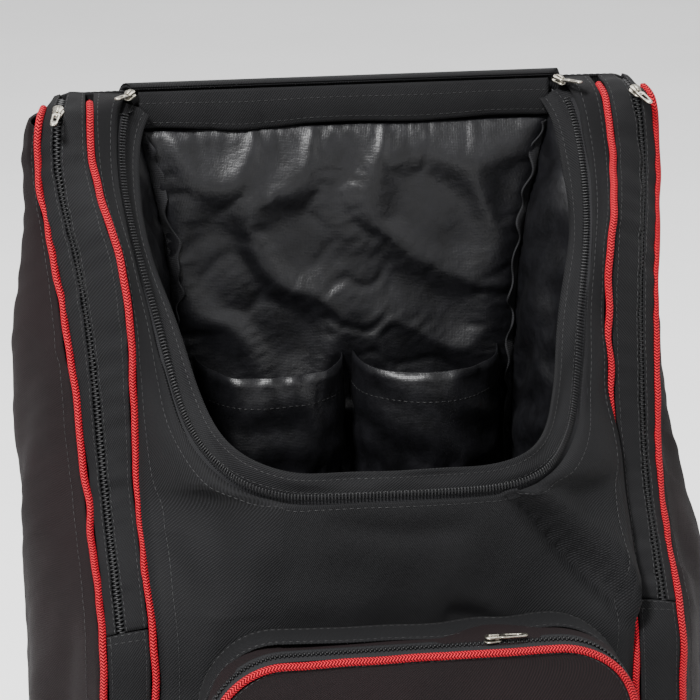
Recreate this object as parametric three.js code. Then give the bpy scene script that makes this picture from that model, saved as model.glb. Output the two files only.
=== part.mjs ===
// A cricket kit bag that stands upright, with its top flap unzipped and thrown back.
// Millimetres, +Z up, +Y towards the back. The origin is the middle of the base's underside.
// Every cloth piece is a sewn panel of its own, and the seams between panels are piped, zipped or butted.
import * as THREE from "three";

// Driving dimensions
const height = 882; // top edge of the back panel
const width = 490; // over both side pockets where they bulge most
const depth = 240; // from the back panel to the front seams
const clothThickness = 2.2; // padded woven outer cloth
const liningThickness = 1.0;
const baseThickness = 3.0;
const clearance = 0.3; // between neighbouring pieces
const rearAllowance = 2.8; // the cloth the rear seams take up behind the depth
const pipingDiameter = 5.2;

const zipTapeThickness = 0.8;
const zipTapeWidth = 28;
const coilWidth = 5.6;
const coilHeight = 1.6; // how far a closed coil stands up from its tape
const coilFlank = 0.1; // the width of the step from the tape to the coil
const zipShare = 0.37; // where the side zip runs, from the outer piping to the inner one
const halfZipReach = 7; // how far the open zip's teeth stand out of the cloth's edge
const facingReach = 19; // the storm strip behind the open zip
const facingUnderlap = 6; // what is sewn behind the cloth's edge
const facingGap = 2.1; // between the zip tape and the storm strip

const bandHeight = 27; // the strip across the top of the back, inside
const bandThickness = 4;
const bandEndGap = 2; // between the band and each side lining
const flapThickness = 3;
const flapFoldRadius = 7.5;
const foldSetback = 1.5; // the fold's centre lies this far behind the back panel
const foldDrop = 4; // and this far below its top edge
const flapStep = 12; // from the fold to the flap's first straight station
const flapEdgeGap = 1.5; // the flap is cut this much smaller than the opening
const flapLean = 7; // how far the flap's tip stands further back than its fold

const sleeveHeight = 685; // top edge of the two inner bat sleeves
const sleeveBulge = 60;
const sleeveMargin = 12; // between a sleeve's outer edge and the corner of the lining
const sleeveGap = 6; // between the two sleeves
const bindingWidth = 8;
const bindingThickness = 2;
const bindingInset = 1.4;

const pocketWidth = 286;
const pocketTop = 566;
const pocketBottom = 62;
const pocketDepth = 46; // how far the front pocket stands out from the front panel
const pocketTopRadius = 52;
const pocketBottomRadius = 34;
const pocketDome = 8;
const pocketShift = 7; // the soft pocket hangs a little to the right
const pocketBase = 1.2; // the gusset's back edge stands this far off the curved front panel
const pocketZipWidth = 18;
const pocketZipDrop = 150; // how far the pocket's zip runs down each side
const rainFlapWidth = 24; // the strip sewn above the pocket and lying over its gusset
const rainFlapRise = 1.6; // how high its front half lies, over the edge of the zip tape
const rainFlapDrop = 62; // how far it runs down the pocket's shoulders
const rainFlapStart = 3; // it starts this far in front of the front panel
const pocketZipSetback = 0.5; // from the piping back to the zip tape's front edge

const sliderWidth = 9;
const sliderLength = 12;
const sliderThickness = 4;
const pullWidth = 6;
const pullLength = 20;
const sliderSink = 0.2; // a side slider sits this deep in its gusset
const mainSliderLift = 0.8;
const pocketSliderX = 48;

// What follows from them
const halfWidth = width / 2;
const backPlane = depth / 2 + clothThickness + rearAllowance; // outer face of the back panel
const backInner = backPlane - clothThickness - clearance;
const liningFront = backInner - liningThickness;
const footing = baseThickness + clearance; // where the upright panels start
const pipingRadius = pipingDiameter / 2;
const seamMargin = pipingRadius + 1;

// The bag's seams, from the base at row 0, up the front and over the top to the back panel at row 15.
// x is a share of half the width, d a share of the depth forward from the back panel,
// and z a share of the height.
// inner: the seam between the front panel and a side pocket's gusset. outer: the gusset's other seam.
// mouth: the line that becomes the edge of the opening from row 6 up. side: how far the side panels bulge.
// rear: the back corners. core: the back corners of the lining.
const bare = [
  "innerX", "innerD", "innerZ", "outerX", "outerD", "outerZ", "mouthX", "mouthD", "mouthZ",
  "sideLeft", "sideRight", "rearX", "rearZ", "coreX",
];
const seams = [
  [0.686, 1.0, 0.0, 0.804, 0.96, 0.0, 0.343, 1.03, 0.0, 0.906, 0.906, 0.837, 0.0, 0.51],
  [0.686, 1.015, 0.136, 0.816, 0.977, 0.136, 0.343, 1.048, 0.136, 0.963, 0.963, 0.865, 0.136, 0.51],
  [0.682, 1.018, 0.373, 0.82, 0.981, 0.373, 0.339, 1.052, 0.373, 0.992, 0.996, 0.882, 0.373, 0.51],
  [0.678, 1.002, 0.545, 0.816, 0.977, 0.545, 0.335, 1.04, 0.55, 1.0, 1.0, 0.886, 0.55, 0.51],
  [0.673, 0.96, 0.621, 0.812, 0.952, 0.618, 0.331, 1.01, 0.63, 1.0, 0.98, 0.886, 0.635, 0.51],
  [0.678, 0.835, 0.669, 0.812, 0.835, 0.655, 0.327, 0.994, 0.685, 0.996, 0.947, 0.886, 0.692, 0.51],
  [0.682, 0.702, 0.708, 0.816, 0.698, 0.687, 0.327, 0.973, 0.737, 0.996, 0.931, 0.886, 0.737, 0.512],
  [0.686, 0.644, 0.731, 0.82, 0.61, 0.717, 0.449, 0.919, 0.748, 0.996, 0.918, 0.882, 0.771, 0.514],
  [0.682, 0.602, 0.757, 0.829, 0.544, 0.748, 0.531, 0.794, 0.765, 0.992, 0.906, 0.878, 0.807, 0.518],
  [0.682, 0.56, 0.794, 0.837, 0.485, 0.786, 0.584, 0.648, 0.788, 0.984, 0.902, 0.873, 0.848, 0.527],
  [0.682, 0.519, 0.841, 0.853, 0.385, 0.837, 0.62, 0.515, 0.844, 0.967, 0.898, 0.869, 0.895, 0.551],
  [0.698, 0.46, 0.89, 0.873, 0.294, 0.882, 0.653, 0.419, 0.889, 0.955, 0.902, 0.869, 0.931, 0.578],
  [0.727, 0.365, 0.921, 0.894, 0.206, 0.916, 0.678, 0.294, 0.924, 0.943, 0.91, 0.869, 0.96, 0.6],
  [0.751, 0.219, 0.954, 0.906, 0.144, 0.95, 0.686, 0.169, 0.958, 0.931, 0.918, 0.869, 0.978, 0.612],
  [0.751, 0.115, 0.982, 0.894, 0.115, 0.979, 0.665, 0.077, 0.992, 0.902, 0.898, 0.869, 0.989, 0.616],
  [0.743, 0.0, 0.993, 0.857, 0.0, 0.991, 0.629, 0.0, 0.997, 0.864, 0.864, 0.861, 0.995, 0.616],
];
const topRow = seams.length - 1;
const mouthRow = 6; // the bottom of the opening
const zipFootRow = 4.35; // where each side zip ends and the plain lower gusset starts
const sidePanelTopRow = 13.5;
const sidePanelGap = 2.1; // between a side panel and its piping, beyond the seam margin
const pipingRun = { first: 0.02, last: topRow - 0.5 };
const liningTopRow = 13;
const sideLiningTopRow = topRow - 0.35;
const bindingRun = { first: 0.15, last: 12.2 };

// The soft folds of the front panel. Each runs from one end to the other as a valley.
// x is a share of half the width, z a share of the height, depth and reach are shares of the depth.
const folds = [
  { fromX: 0.36, fromZ: 0.735, toX: 0.68, toZ: 0.635, depth: 0.055, reach: 0.055 },
  { fromX: -0.6, fromZ: 0.7, toX: -0.5, toZ: 0.63, depth: 0.03, reach: 0.07 },
];

// A column of the seam table at any row, on a smooth curve through the rows.
function column(name, row) {
  const c = bare.indexOf(name);
  const i = Math.min(Math.max(Math.floor(row), 0), topRow - 1);
  const f = row - i;
  const value = (k) => seams[Math.min(Math.max(k, 0), topRow)][c];
  const [a, b, m, n] = [value(i - 1), value(i), value(i + 1), value(i + 2)];
  const curve = b + 0.5 * f * (m - a + f * (2 * a - 5 * b + 4 * m - n + f * (3 * (b - m) + n - a)));
  return f === 0 ? b : curve;
}

// A point of a seam: side is -1 on the left and 1 on the right.
function seamPoint(name, row, side) {
  const rise = (height - footing) * column(name + "Z", row);
  return new THREE.Vector3(
    side * halfWidth * column(name + "X", row),
    backInner - depth * column(name + "D", row),
    footing + rise,
  );
}
const innerSeam = (row, side) => seamPoint("inner", row, side);
const outerSeam = (row, side) => seamPoint("outer", row, side);
const mouthLine = (row, side) => seamPoint("mouth", row, side);

// Numbers from first to last, count of them, evenly spaced.
function spread(first, last, count) {
  return Array.from({ length: count }, (_, i) => first + ((last - first) * i) / (count - 1));
}

// A point that lies so many millimetres from one point towards another.
function towards(from, to, distance) {
  return from.clone().add(to.clone().sub(from).setLength(distance));
}

// Outward normals of a grid of points. turn is 1 or -1, by which way the grid faces.
function gridNormals(grid, turn, present = () => true) {
  const normals = grid.map((line) => line.map(() => new THREE.Vector3()));
  for (let i = 0; i + 1 < grid.length; i++)
    for (let j = 0; j + 1 < grid[0].length; j++) {
      if (!present(i, j)) continue;
      const across = grid[i][j + 1].clone().sub(grid[i + 1][j]);
      const along = grid[i + 1][j + 1].clone().sub(grid[i][j]);
      const facing = across.cross(along).multiplyScalar(turn);
      for (const [a, b] of [[i, j], [i, j + 1], [i + 1, j], [i + 1, j + 1]]) normals[a][b].add(facing);
    }
  for (const line of normals) for (const n of line) n.normalize();
  return normals;
}

// A closed solid between two grids of points. present(i, j) says which cells there are.
function slab(outside, inside, turn, present = () => true) {
  const rows = outside.length;
  const columns = outside[0].length;
  const corners = [];
  const cell = (i, j) => i >= 0 && j >= 0 && i + 1 < rows && j + 1 < columns && present(i, j);
  const face = (a, b, c, d) => {
    const quad = turn > 0 ? [a, b, c, a, c, d] : [a, c, b, a, d, c];
    for (const p of quad) corners.push(p.x, p.y, p.z);
  };
  for (let i = 0; i + 1 < rows; i++)
    for (let j = 0; j + 1 < columns; j++) {
      if (!cell(i, j)) continue;
      const [a, b, c, d] = [[i, j], [i, j + 1], [i + 1, j + 1], [i + 1, j]];
      const out = (p) => outside[p[0]][p[1]];
      const inn = (p) => inside[p[0]][p[1]];
      face(out(a), out(b), out(c), out(d));
      face(inn(d), inn(c), inn(b), inn(a));
      const sides = [[a, b, i - 1, j], [b, c, i, j + 1], [c, d, i + 1, j], [d, a, i, j - 1]];
      for (const [p, q, ni, nj] of sides) if (!cell(ni, nj)) face(out(p), inn(p), inn(q), out(q));
    }
  const geometry = new THREE.BufferGeometry();
  geometry.setAttribute("position", new THREE.Float32BufferAttribute(corners, 3));
  geometry.computeVertexNormals();
  return geometry;
}

// A cloth panel: its outer face is the grid, and its thickness goes inwards.
// It reaches no further back and no lower than the grid itself.
function cloth(grid, thickness, turn, present) {
  const normals = gridNormals(grid, turn, present);
  const rearmost = Math.max(...grid.flat().map((p) => p.y));
  const lowest = Math.min(...grid.flat().map((p) => p.z));
  const inside = grid.map((line, i) =>
    line.map((p, j) => {
      const q = p.clone().addScaledVector(normals[i][j], -thickness);
      return q.set(q.x, Math.min(q.y, rearmost), Math.max(q.z, lowest));
    }),
  );
  return slab(grid, inside, turn, present);
}

// A flat panel that faces the front, with its thickness going straight back.
function board(grid, thickness) {
  const back = grid.map((line) => line.map((p) => p.clone().setY(p.y + thickness)));
  return slab(grid, back, 1);
}

// A strip that follows a line on a surface. Each station has a point, the direction across and the normal.
// The profile's rows are [how far across, height of the top face, height of the bottom face].
function strip(stations, profile, turn) {
  const place = (s, across, up) =>
    s.point.clone().addScaledVector(s.across, across).addScaledVector(s.normal, up);
  const top = stations.map((s) => profile.map(([across, up]) => place(s, across, up)));
  const bottom = stations.map((s) => profile.map(([across, , down]) => place(s, across, down)));
  return slab(top, bottom, turn);
}

// A round cord along points.
function cord(points, radius, steps) {
  const circle = new THREE.EllipseCurve(0, 0, radius, radius).getSpacedPoints(6);
  const section = new THREE.Shape(circle.slice(0, -1));
  const path = new THREE.CatmullRomCurve3(points, false, "centripetal");
  return new THREE.ExtrudeGeometry(section, { steps, bevelEnabled: false, extrudePath: path });
}

// Materials
const finish = (color, roughness, metalness = 0) =>
  new THREE.MeshStandardMaterial({ color, roughness, metalness, side: THREE.DoubleSide });
const twill = finish(0x1b1b1d, 0.85);
const lining = finish(0x0b0c10, 0.35);
const redPiping = finish(0xd0202e, 0.7);
const zipCoil = finish(0x0e0e10, 0.5);
const sliderMetal = finish(0xb9b6a8, 0.35, 0.9);

const bag = new THREE.Group();
function add(name, geometry, material) {
  const mesh = new THREE.Mesh(geometry, material);
  mesh.name = name;
  bag.add(mesh);
  return mesh;
}
const sides = [{ name: "left", side: -1 }, { name: "right", side: 1 }];

// The front panel with the opening cut into its upper part

// How deep the folds press the front panel in at a point.
function foldDepth(point) {
  let pressed = 0;
  for (const fold of folds) {
    const from = new THREE.Vector2(fold.fromX * halfWidth, fold.fromZ * height);
    const to = new THREE.Vector2(fold.toX * halfWidth, fold.toZ * height);
    const run = to.clone().sub(from);
    const here = new THREE.Vector2(point.x, point.z).sub(from);
    const share = here.dot(run) / run.lengthSq();
    const off = Math.abs(here.cross(run)) / run.length() / (fold.reach * depth);
    const fade = Math.max(0, 1 - (2 * share - 1) ** 4);
    if (share > 0 && share < 1) pressed += fold.depth * depth * fade * Math.exp(-off * off * 2);
  }
  return pressed;
}

// The front panel's section at a row, from the left inner seam to the right one.
// u runs 0 to 1 over the left rim, 1 to 2 over the middle and 2 to 3 over the right rim.
function frontPoint(row, u) {
  const left = innerSeam(row, -1);
  const right = innerSeam(row, 1);
  const edge = towards(left, mouthLine(row, -1), seamMargin);
  const farEdge = towards(right, mouthLine(row, 1), seamMargin);
  const section = new THREE.CatmullRomCurve3(
    [edge, mouthLine(row, -1), mouthLine(row, 1), farEdge], false, "centripetal",
  );
  return section.getPoint(u / 3);
}
const frontRows = [
  ...spread(0, 3, 6), ...spread(3.5, mouthRow, 6), ...spread(mouthRow + 0.5, topRow, 18),
];
const rimShares = [0, 0.4, 0.75, 1];
const middleShares = spread(1.17, 1.83, 5);
const frontShares = [...rimShares, ...middleShares, ...rimShares.map((u) => 3 - u).reverse()];
const mouthIndex = frontRows.indexOf(mouthRow);
const leftEdge = rimShares.length - 1;
const rightEdge = frontShares.length - rimShares.length;
const frontGrid = frontRows.map((row) =>
  frontShares.map((u) => {
    const p = frontPoint(row, u);
    p.y += foldDepth(p) * Math.sin((Math.PI * u) / 3) ** 0.5;
    return p;
  }),
);
for (const p of frontGrid.at(-1)) p.y = backInner;
const isCloth = (i, j) => i < mouthIndex || j < leftEdge || j >= rightEdge;
add("front_panel", cloth(frontGrid, clothThickness, 1, isCloth), twill);

// The edge of the opening, from the left hinge down, across and up to the right hinge
const frontNormals = gridNormals(frontGrid, 1, isCloth);
const edgePlaces = [
  ...spread(frontRows.length - 1, mouthIndex, frontRows.length - mouthIndex).map((i) => [i, leftEdge]),
  ...spread(leftEdge + 1, rightEdge - 1, rightEdge - leftEdge - 1).map((j) => [mouthIndex, j]),
  ...spread(mouthIndex, frontRows.length - 1, frontRows.length - mouthIndex).map((i) => [i, rightEdge]),
];
const edgePoints = edgePlaces.map(([i, j]) => frontGrid[i][j]);
const mouthEdge = edgePlaces.map(([i, j], k) => {
  const before = edgePoints[Math.max(k - 1, 0)];
  const after = edgePoints[Math.min(k + 1, edgePoints.length - 1)];
  const along = after.clone().sub(before).normalize();
  const normal = frontNormals[i][j].clone();
  const across = normal.clone().cross(along).normalize();
  return { point: frontGrid[i][j], across, normal };
});
const hingeTrim = 2; // stations left free at each end, where the sliders are parked
const openEdge = mouthEdge.slice(hingeTrim, -hingeTrim);
const tapeTop = -(clothThickness + 3 * clearance);
const tapeBottom = tapeTop - zipTapeThickness;
const teethStart = halfZipReach - coilWidth / 2;
const tapeDroop = 3.2; // the tape falls away behind the cloth
const halfZipProfile = [
  [-facingUnderlap, tapeTop - tapeDroop, tapeBottom - tapeDroop],
  [teethStart - clearance, tapeTop, tapeBottom],
  [teethStart, tapeTop + coilHeight, tapeBottom],
  [halfZipReach, tapeTop + coilHeight, tapeBottom],
];
add("main_zip_bag", strip(openEdge, halfZipProfile, -1), zipCoil);
const facingTop = tapeBottom - facingGap;
const facingSag = 3;
add(
  "opening_facing",
  strip(
    openEdge,
    [
      [-facingUnderlap, facingTop - tapeDroop, facingTop - tapeDroop - liningThickness],
      [halfZipReach, facingTop, facingTop - liningThickness],
      [facingReach, facingTop - facingSag, facingTop - facingSag - liningThickness],
    ],
    -1,
  ),
  twill,
);

// The side pockets: a bulging side panel, a gusset in strips either side of a zip, and a plain gusset below

// A point of a side pocket's gusset. u runs 0 to 1 from the outer seam to the inner one.
const gussetBulge = 3;
function seamNormal(row, side, across) {
  const step = 0.25;
  const above = innerSeam(Math.min(row + step, topRow), side);
  const below = innerSeam(Math.max(row - step, 0), side);
  return above.sub(below).cross(across).multiplyScalar(side).normalize();
}
const gussetNormal = (row, side) => seamNormal(row, side, innerSeam(row, side).sub(outerSeam(row, side)));
const rimNormal = (row, side) => seamNormal(row, side, mouthLine(row, side).sub(innerSeam(row, side)));
function gussetPoint(row, u, side) {
  const swell = gussetBulge * 4 * u * (1 - u);
  const flat = outerSeam(row, side).lerp(innerSeam(row, side), u);
  return flat.addScaledVector(gussetNormal(row, side), swell);
}
function gussetGrid(rows, side, fromShare, toShare, columns) {
  return rows.map((row) => {
    const span = outerSeam(row, side).distanceTo(innerSeam(row, side));
    const line = spread(fromShare(span), toShare(span), columns).map((u) => gussetPoint(row, u, side));
    if (row === topRow) for (const p of line) p.y = backInner;
    return line;
  });
}
// A side panel's section at a row, from the outer seam over its bulge to the back corner.
function sideCurve(row, side) {
  const front = outerSeam(row, side);
  const rear = new THREE.Vector3(
    side * halfWidth * column("rearX", row),
    backInner,
    footing + (height - footing) * column("rearZ", row),
  );
  const belly = front.clone().lerp(rear, 0.5);
  belly.x = side * halfWidth * column(side < 0 ? "sideLeft" : "sideRight", row);
  const control = belly.multiplyScalar(2).sub(front.clone().add(rear).multiplyScalar(0.5));
  return new THREE.QuadraticBezierCurve3(front, control, rear);
}
const zipRows = spread(zipFootRow, topRow, 20);
const lowerRows = spread(0, zipFootRow - 0.01, 9);
const atOuter = (span) => seamMargin / span;
const atInner = (span) => 1 - seamMargin / span;
const slit = coilWidth / 2 + clearance;
const zipSeat = 2.1; // how much deeper the tape lies than the strips' flat faces
for (const { name, side } of sides) {
  const turn = -side;
  const beforeZip = (span) => zipShare - slit / span;
  const afterZip = (span) => zipShare + slit / span;
  const outerStrip = gussetGrid(zipRows, side, atOuter, beforeZip, 2);
  const innerStrip = gussetGrid(zipRows, side, afterZip, atInner, 3);
  add("gusset_outer_" + name, cloth(outerStrip, clothThickness, turn), twill);
  add("gusset_inner_" + name, cloth(innerStrip, clothThickness, turn), twill);
  const lower = gussetGrid(lowerRows, side, atOuter, atInner, 4);
  for (const p of lower.at(-1)) p.z -= 2 * clearance;
  add("gusset_lower_" + name, cloth(lower, clothThickness, turn), twill);

  // The zip's tape lies behind the two strips and its closed coil fills the slit between them.
  const wing = zipTapeWidth / 2;
  const coilFoot = coilWidth / 2 + coilFlank;
  const offsets = [-wing, -coilFoot, -coilWidth / 2, coilWidth / 2, coilFoot, wing];
  const crown = coilHeight + zipSeat;
  const rise = [0, 0, crown, crown, 0, 0];
  const tapeRows = zipRows.slice(0, -1);
  const faces = tapeRows.map((row) => {
    const span = outerSeam(row, side).distanceTo(innerSeam(row, side));
    const limit = (u) => Math.min(Math.max(u, 2 * atOuter(span)), 2 * atInner(span) - 1);
    return offsets.map((o) => gussetPoint(row, limit(zipShare + o / span), side));
  });
  const normals = gridNormals(faces, turn);
  const lift = (up) =>
    faces.map((line, i) => line.map((p, j) => p.clone().addScaledVector(normals[i][j], up(j))));
  const zipTop = lift((j) => tapeTop - zipSeat + rise[j]);
  const zipBottom = lift(() => tapeBottom - zipSeat);
  add("side_zip_" + name, slab(zipTop, zipBottom, turn), zipCoil);

  // The side panel runs from the outer piping over its bulge to the back panel.
  const panelRows = [...spread(0, 4, 5), ...spread(4.5, sidePanelTopRow, 20)];
  const panel = panelRows.map((row) => {
    const curve = sideCurve(row, side);
    const seamRun = outerSeam(row + 0.2, side).sub(outerSeam(Math.max(row - 0.2, 0), side)).normalize();
    const skew = curve.getTangent(0).cross(seamRun).length();
    const start = (seamMargin + sidePanelGap) / (skew * curve.getLength());
    return spread(start, 1, 6).map((u) => curve.getPointAt(Math.min(u, 1)));
  });
  add("side_panel_" + name, cloth(panel, clothThickness, side), twill);

  // Piping on both seams of the gusset
  const pipingRows = spread(pipingRun.first, pipingRun.last, 31);
  const pipingSteps = 36;
  const along = (seam) =>
    pipingRows.map((row) => {
      const p = seam(row, side);
      p.z = Math.max(p.z, footing);
      return p;
    });
  add("piping_outer_" + name, cord(along(outerSeam), pipingRadius, pipingSteps), redPiping);
  add("piping_inner_" + name, cord(along(innerSeam), pipingRadius, pipingSteps), redPiping);
}

// The back panel and the base

// Half the bag's width along its back corners, at a height.
function rearHalfWidth(z) {
  let [low, high] = [0, topRow];
  for (let i = 0; i < 30; i++) {
    const row = (low + high) / 2;
    if (footing + (height - footing) * column("rearZ", row) < z) low = row;
    else high = row;
  }
  return halfWidth * column("rearX", low);
}
const backEdge = [footing, ...spread(0.1, 0.97, 12).map((share) => share * height), height];
const backRim = 1; // the back panel stands this far past the side panels
const backGrid = backEdge.map((z) =>
  [-1, 0, 1].map((side) => new THREE.Vector3(side * (rearHalfWidth(z) + backRim), backPlane, z)),
);
add("back_panel", cloth(backGrid, clothThickness, -1), twill);

const baseOutline = [
  ...spread(0, 3, 7).map((u) => frontPoint(0, u)),
  ...sideCurve(0, 1).getPoints(6),
  new THREE.Vector3(halfWidth * column("rearX", 0), backPlane, 0),
  new THREE.Vector3(-halfWidth * column("rearX", 0), backPlane, 0),
  ...sideCurve(0, -1).getPoints(6).reverse(),
].map((p) => new THREE.Vector2(p.x, p.y));
const basePlate = new THREE.ExtrudeGeometry(new THREE.Shape(baseOutline), {
  depth: baseThickness,
  bevelEnabled: false,
});
add("base_panel", basePlate, twill);

// The lining: its back, its two sides, the bindings in its corners and the two bat sleeves
function coreCorner(row, side) {
  return new THREE.Vector3(
    side * halfWidth * column("coreX", row),
    liningFront - clearance,
    footing + (height - footing) * column("rearZ", row),
  );
}
const liningStart = 16; // the side linings' front edges hang this far behind the inner seams
const bandBottom = height - bandHeight;
const liningTop = bandBottom - clearance;
const liningOverlap = 6; // the back lining passes behind the side linings' edges
const liningStep = 4; // the lowest step below its top edge
const liningCorners = spread(0, topRow, 40).map((row) => coreCorner(row, 1));
const liningRows = liningCorners.filter((p) => p.z < liningTop - liningStep);
const liningStations = liningRows.filter((p, i) => i % 3 === 0 || p.z > 0.75 * height);
liningStations.push(coreCorner(liningTopRow, 1).setZ(liningTop));
const liningGrid = liningStations.map((p) =>
  [-1, 0, 1].map((x) => new THREE.Vector3(x * (p.x + liningOverlap), liningFront, p.z)),
);
add("lining_back", board(liningGrid, liningThickness), lining);
for (const { name, side } of sides) {
  const rows = spread(0, sideLiningTopRow, 20).map((row) => {
    const rear = coreCorner(row, side);
    const outwards = gussetNormal(row, side).add(rimNormal(row, side)).normalize();
    const front = innerSeam(row, side).addScaledVector(outwards, -liningStart);
    return spread(0, 1, 4).map((u) => front.clone().lerp(rear, u));
  });
  add("lining_" + name, cloth(rows, liningThickness, -side), lining);

  const finRows = spread(bindingRun.first, bindingRun.last, 16).map((row) => {
    const corner = coreCorner(row, side);
    const inwards = new THREE.Vector3(-side, -1, 0).normalize();
    const thin = new THREE.Vector3(-side, 1, 0).normalize();
    return { point: corner.addScaledVector(inwards, bindingInset), across: inwards, normal: thin };
  });
  const half = bindingThickness / 2;
  add("seam_binding_" + name, strip(finRows, [[0, half, -half], [bindingWidth, half, -half]], side), twill);

  const sleeveRows = [0.01, 0.2, 0.4, 0.6, 0.8, 1];
  const sleeveOuter = halfWidth * column("coreX", 0) - sleeveMargin;
  const sleeveGrid = sleeveRows.map((share) =>
    spread(0, 1, 9).map((u) => {
      const x = sleeveOuter + (sleeveGap / 2 - sleeveOuter) * (0.5 - 0.5 * Math.cos(Math.PI * u));
      const y = liningFront - clearance - sleeveBulge * Math.sin(Math.PI * u) ** 0.8;
      return new THREE.Vector3(side * x, y, footing + share * (sleeveHeight - footing));
    }),
  );
  add("bat_sleeve_" + name, cloth(sleeveGrid, liningThickness, -side), lining);
}

// The band across the top of the back
const bandHalf = halfWidth * column("coreX", topRow) - liningThickness - bandEndGap;
const bandGrid = [bandBottom, height].map((z) =>
  [-1, 1].map((side) => new THREE.Vector3(side * bandHalf, backInner - bandThickness, z)),
);
add("top_band", board(bandGrid, bandThickness), twill);

// The flap, cut to the shape of the opening, folded over the back panel's top edge and hanging behind it
const foldCentre = { y: backPlane + foldSetback, z: height - foldDrop };
const foldStart = THREE.MathUtils.degToRad(130);
const foldLength = foldStart * flapFoldRadius;
const flapLength = (() => {
  let total = 0;
  for (const row of spread(topRow - 0.1, mouthRow, 60).slice(1)) {
    const [a, b] = [mouthLine(row, 1), mouthLine(row + 0.15, 1)];
    total += Math.hypot(a.y - b.y, a.z - b.z);
  }
  return total;
})();
function flapSpine(distance) {
  if (distance < foldLength) {
    const angle = foldStart - distance / flapFoldRadius;
    return new THREE.Vector3(
      0,
      foldCentre.y + flapFoldRadius * Math.cos(angle),
      foldCentre.z + flapFoldRadius * Math.sin(angle),
    );
  }
  const hang = (distance - foldLength) / (flapLength - foldLength);
  return new THREE.Vector3(
    0,
    foldCentre.y + flapFoldRadius + flapLean * hang * hang,
    foldCentre.z - (distance - foldLength),
  );
}
const flapStations = [...spread(0, foldLength, 6), ...spread(foldLength + flapStep, flapLength, 15)];
const travel = spread(topRow, mouthRow, 200).map((row) => ({ row, at: 0 }));
for (let i = 1; i < travel.length; i++) {
  const [a, b] = [mouthLine(travel[i - 1].row, 1), mouthLine(travel[i].row, 1)];
  travel[i].at = travel[i - 1].at + Math.hypot(a.y - b.y, a.z - b.z);
}
const flapColumns = 5;
function flapHalfWidth(distance) {
  const share = (distance / flapLength) * travel.at(-1).at;
  const found = travel.find((t) => t.at >= share - 1e-6) ?? travel.at(-1);
  return mouthLine(found.row, 1).x - flapEdgeGap;
}
const flapGrid = flapStations.map((distance) => {
  const spine = flapSpine(distance);
  const half = flapHalfWidth(distance);
  return spread(-1, 1, flapColumns).map((x) => new THREE.Vector3(x * half, spine.y, spine.z));
});
const flapNormals = gridNormals(flapGrid, -1);
const flapFace = (up) =>
  flapGrid.map((line, i) => line.map((p, j) => p.clone().addScaledVector(flapNormals[i][j], up)));
add("flap", slab(flapFace(-flapThickness / 2), flapFace(flapThickness / 2), 1), twill);

// The flap's half of the zip, along its two sides and its tip
const flapRows = flapStations.length;
const flapPlaces = [
  ...spread(6, flapRows - 1, flapRows - 6).map((i) => [i, 0]),
  ...spread(1, flapColumns - 2, flapColumns - 2).map((j) => [flapRows - 1, j]),
  ...spread(flapRows - 1, 6, flapRows - 6).map((i) => [i, flapColumns - 1]),
];
const flapEdge = flapPlaces.map(([i, j], k) => {
  const place = (n) => flapGrid[flapPlaces[n][0]][flapPlaces[n][1]];
  const before = place(Math.max(k - 1, 0));
  const after = place(Math.min(k + 1, flapPlaces.length - 1));
  const along = after.clone().sub(before).normalize();
  const normal = flapNormals[i][j].clone();
  const across = normal.clone().cross(along).normalize().multiplyScalar(-1);
  return { point: flapGrid[i][j], across, normal };
});
const flapTape = zipTapeThickness / 2;
const flapZipProfile = [
  [clearance, flapTape, -flapTape],
  [teethStart, flapTape, -flapTape],
  [teethStart + coilFlank, coilHeight / 2, -coilHeight / 2],
  [halfZipReach, coilHeight / 2, -coilHeight / 2],
];
add("main_zip_flap", strip(flapEdge, flapZipProfile, 1), zipCoil);

// The front pocket: a gusset standing out of the front panel, a piped face and a zip over the top

// The pocket's outline from the middle of its bottom, clockwise as seen from the front and back again.
function pocketOutline(inset, countSide, countCorner) {
  const half = pocketWidth / 2 - inset;
  const [low, high] = [pocketBottom + inset, pocketTop - inset];
  const points = [];
  const corner = (x, z, radius, from, to) => {
    for (const angle of spread(from, to, countCorner)) {
      const turnBy = (angle * Math.PI) / 180;
      points.push([x + radius * Math.cos(turnBy), z + radius * Math.sin(turnBy)]);
    }
  };
  const small = pocketBottomRadius - inset;
  const large = pocketTopRadius - inset;
  const joint = 0.5; // half the joint in the middle of the bottom
  points.push([-joint, low], [-half / 2, low]);
  corner(-half + small, low + small, small, 270, 180);
  for (const z of spread(low + small, high - large, countSide).slice(1, -1)) points.push([-half, z]);
  corner(-half + large, high - large, large, 180, 90);
  for (const x of spread(-half + large, half - large, 5).slice(1, -1)) points.push([x, high]);
  corner(half - large, high - large, large, 90, 0);
  for (const z of spread(high - large, low + small, countSide).slice(1, -1)) points.push([half, z]);
  corner(half - small, low + small, small, 0, -90);
  points.push([half / 2, low], [joint, low]);
  return points.map(([x, z]) => ({ x: x + pocketShift, z }));
}

// The front panel's outer face at a place seen from the front.
function frontFaceY(x, z) {
  const section = (row) => {
    let [left, right] = [0, 3];
    for (let i = 0; i < 24; i++) {
      const u = (left + right) / 2;
      if (frontPoint(row, u).x < x) left = u;
      else right = u;
    }
    return frontPoint(row, left);
  };
  let [low, high] = [0, mouthRow];
  for (let i = 0; i < 24; i++) {
    const row = (low + high) / 2;
    if (section(row).z < z) low = row;
    else high = row;
  }
  return section(low).y;
}
const pocketFaceY = frontFaceY(0, (pocketTop + pocketBottom) / 2) - pocketDepth;
const outline = pocketOutline(0, 8, 6);
const gussetLines = outline.map(({ x, z }) => {
  const rear = frontFaceY(x, z) - pocketBase;
  const front = pocketFaceY + pipingRadius + clearance;
  return spread(rear, front, 3).map((y) => new THREE.Vector3(x, y, z));
});
add("pocket_gusset", cloth(gussetLines, clothThickness, 1), twill);
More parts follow.
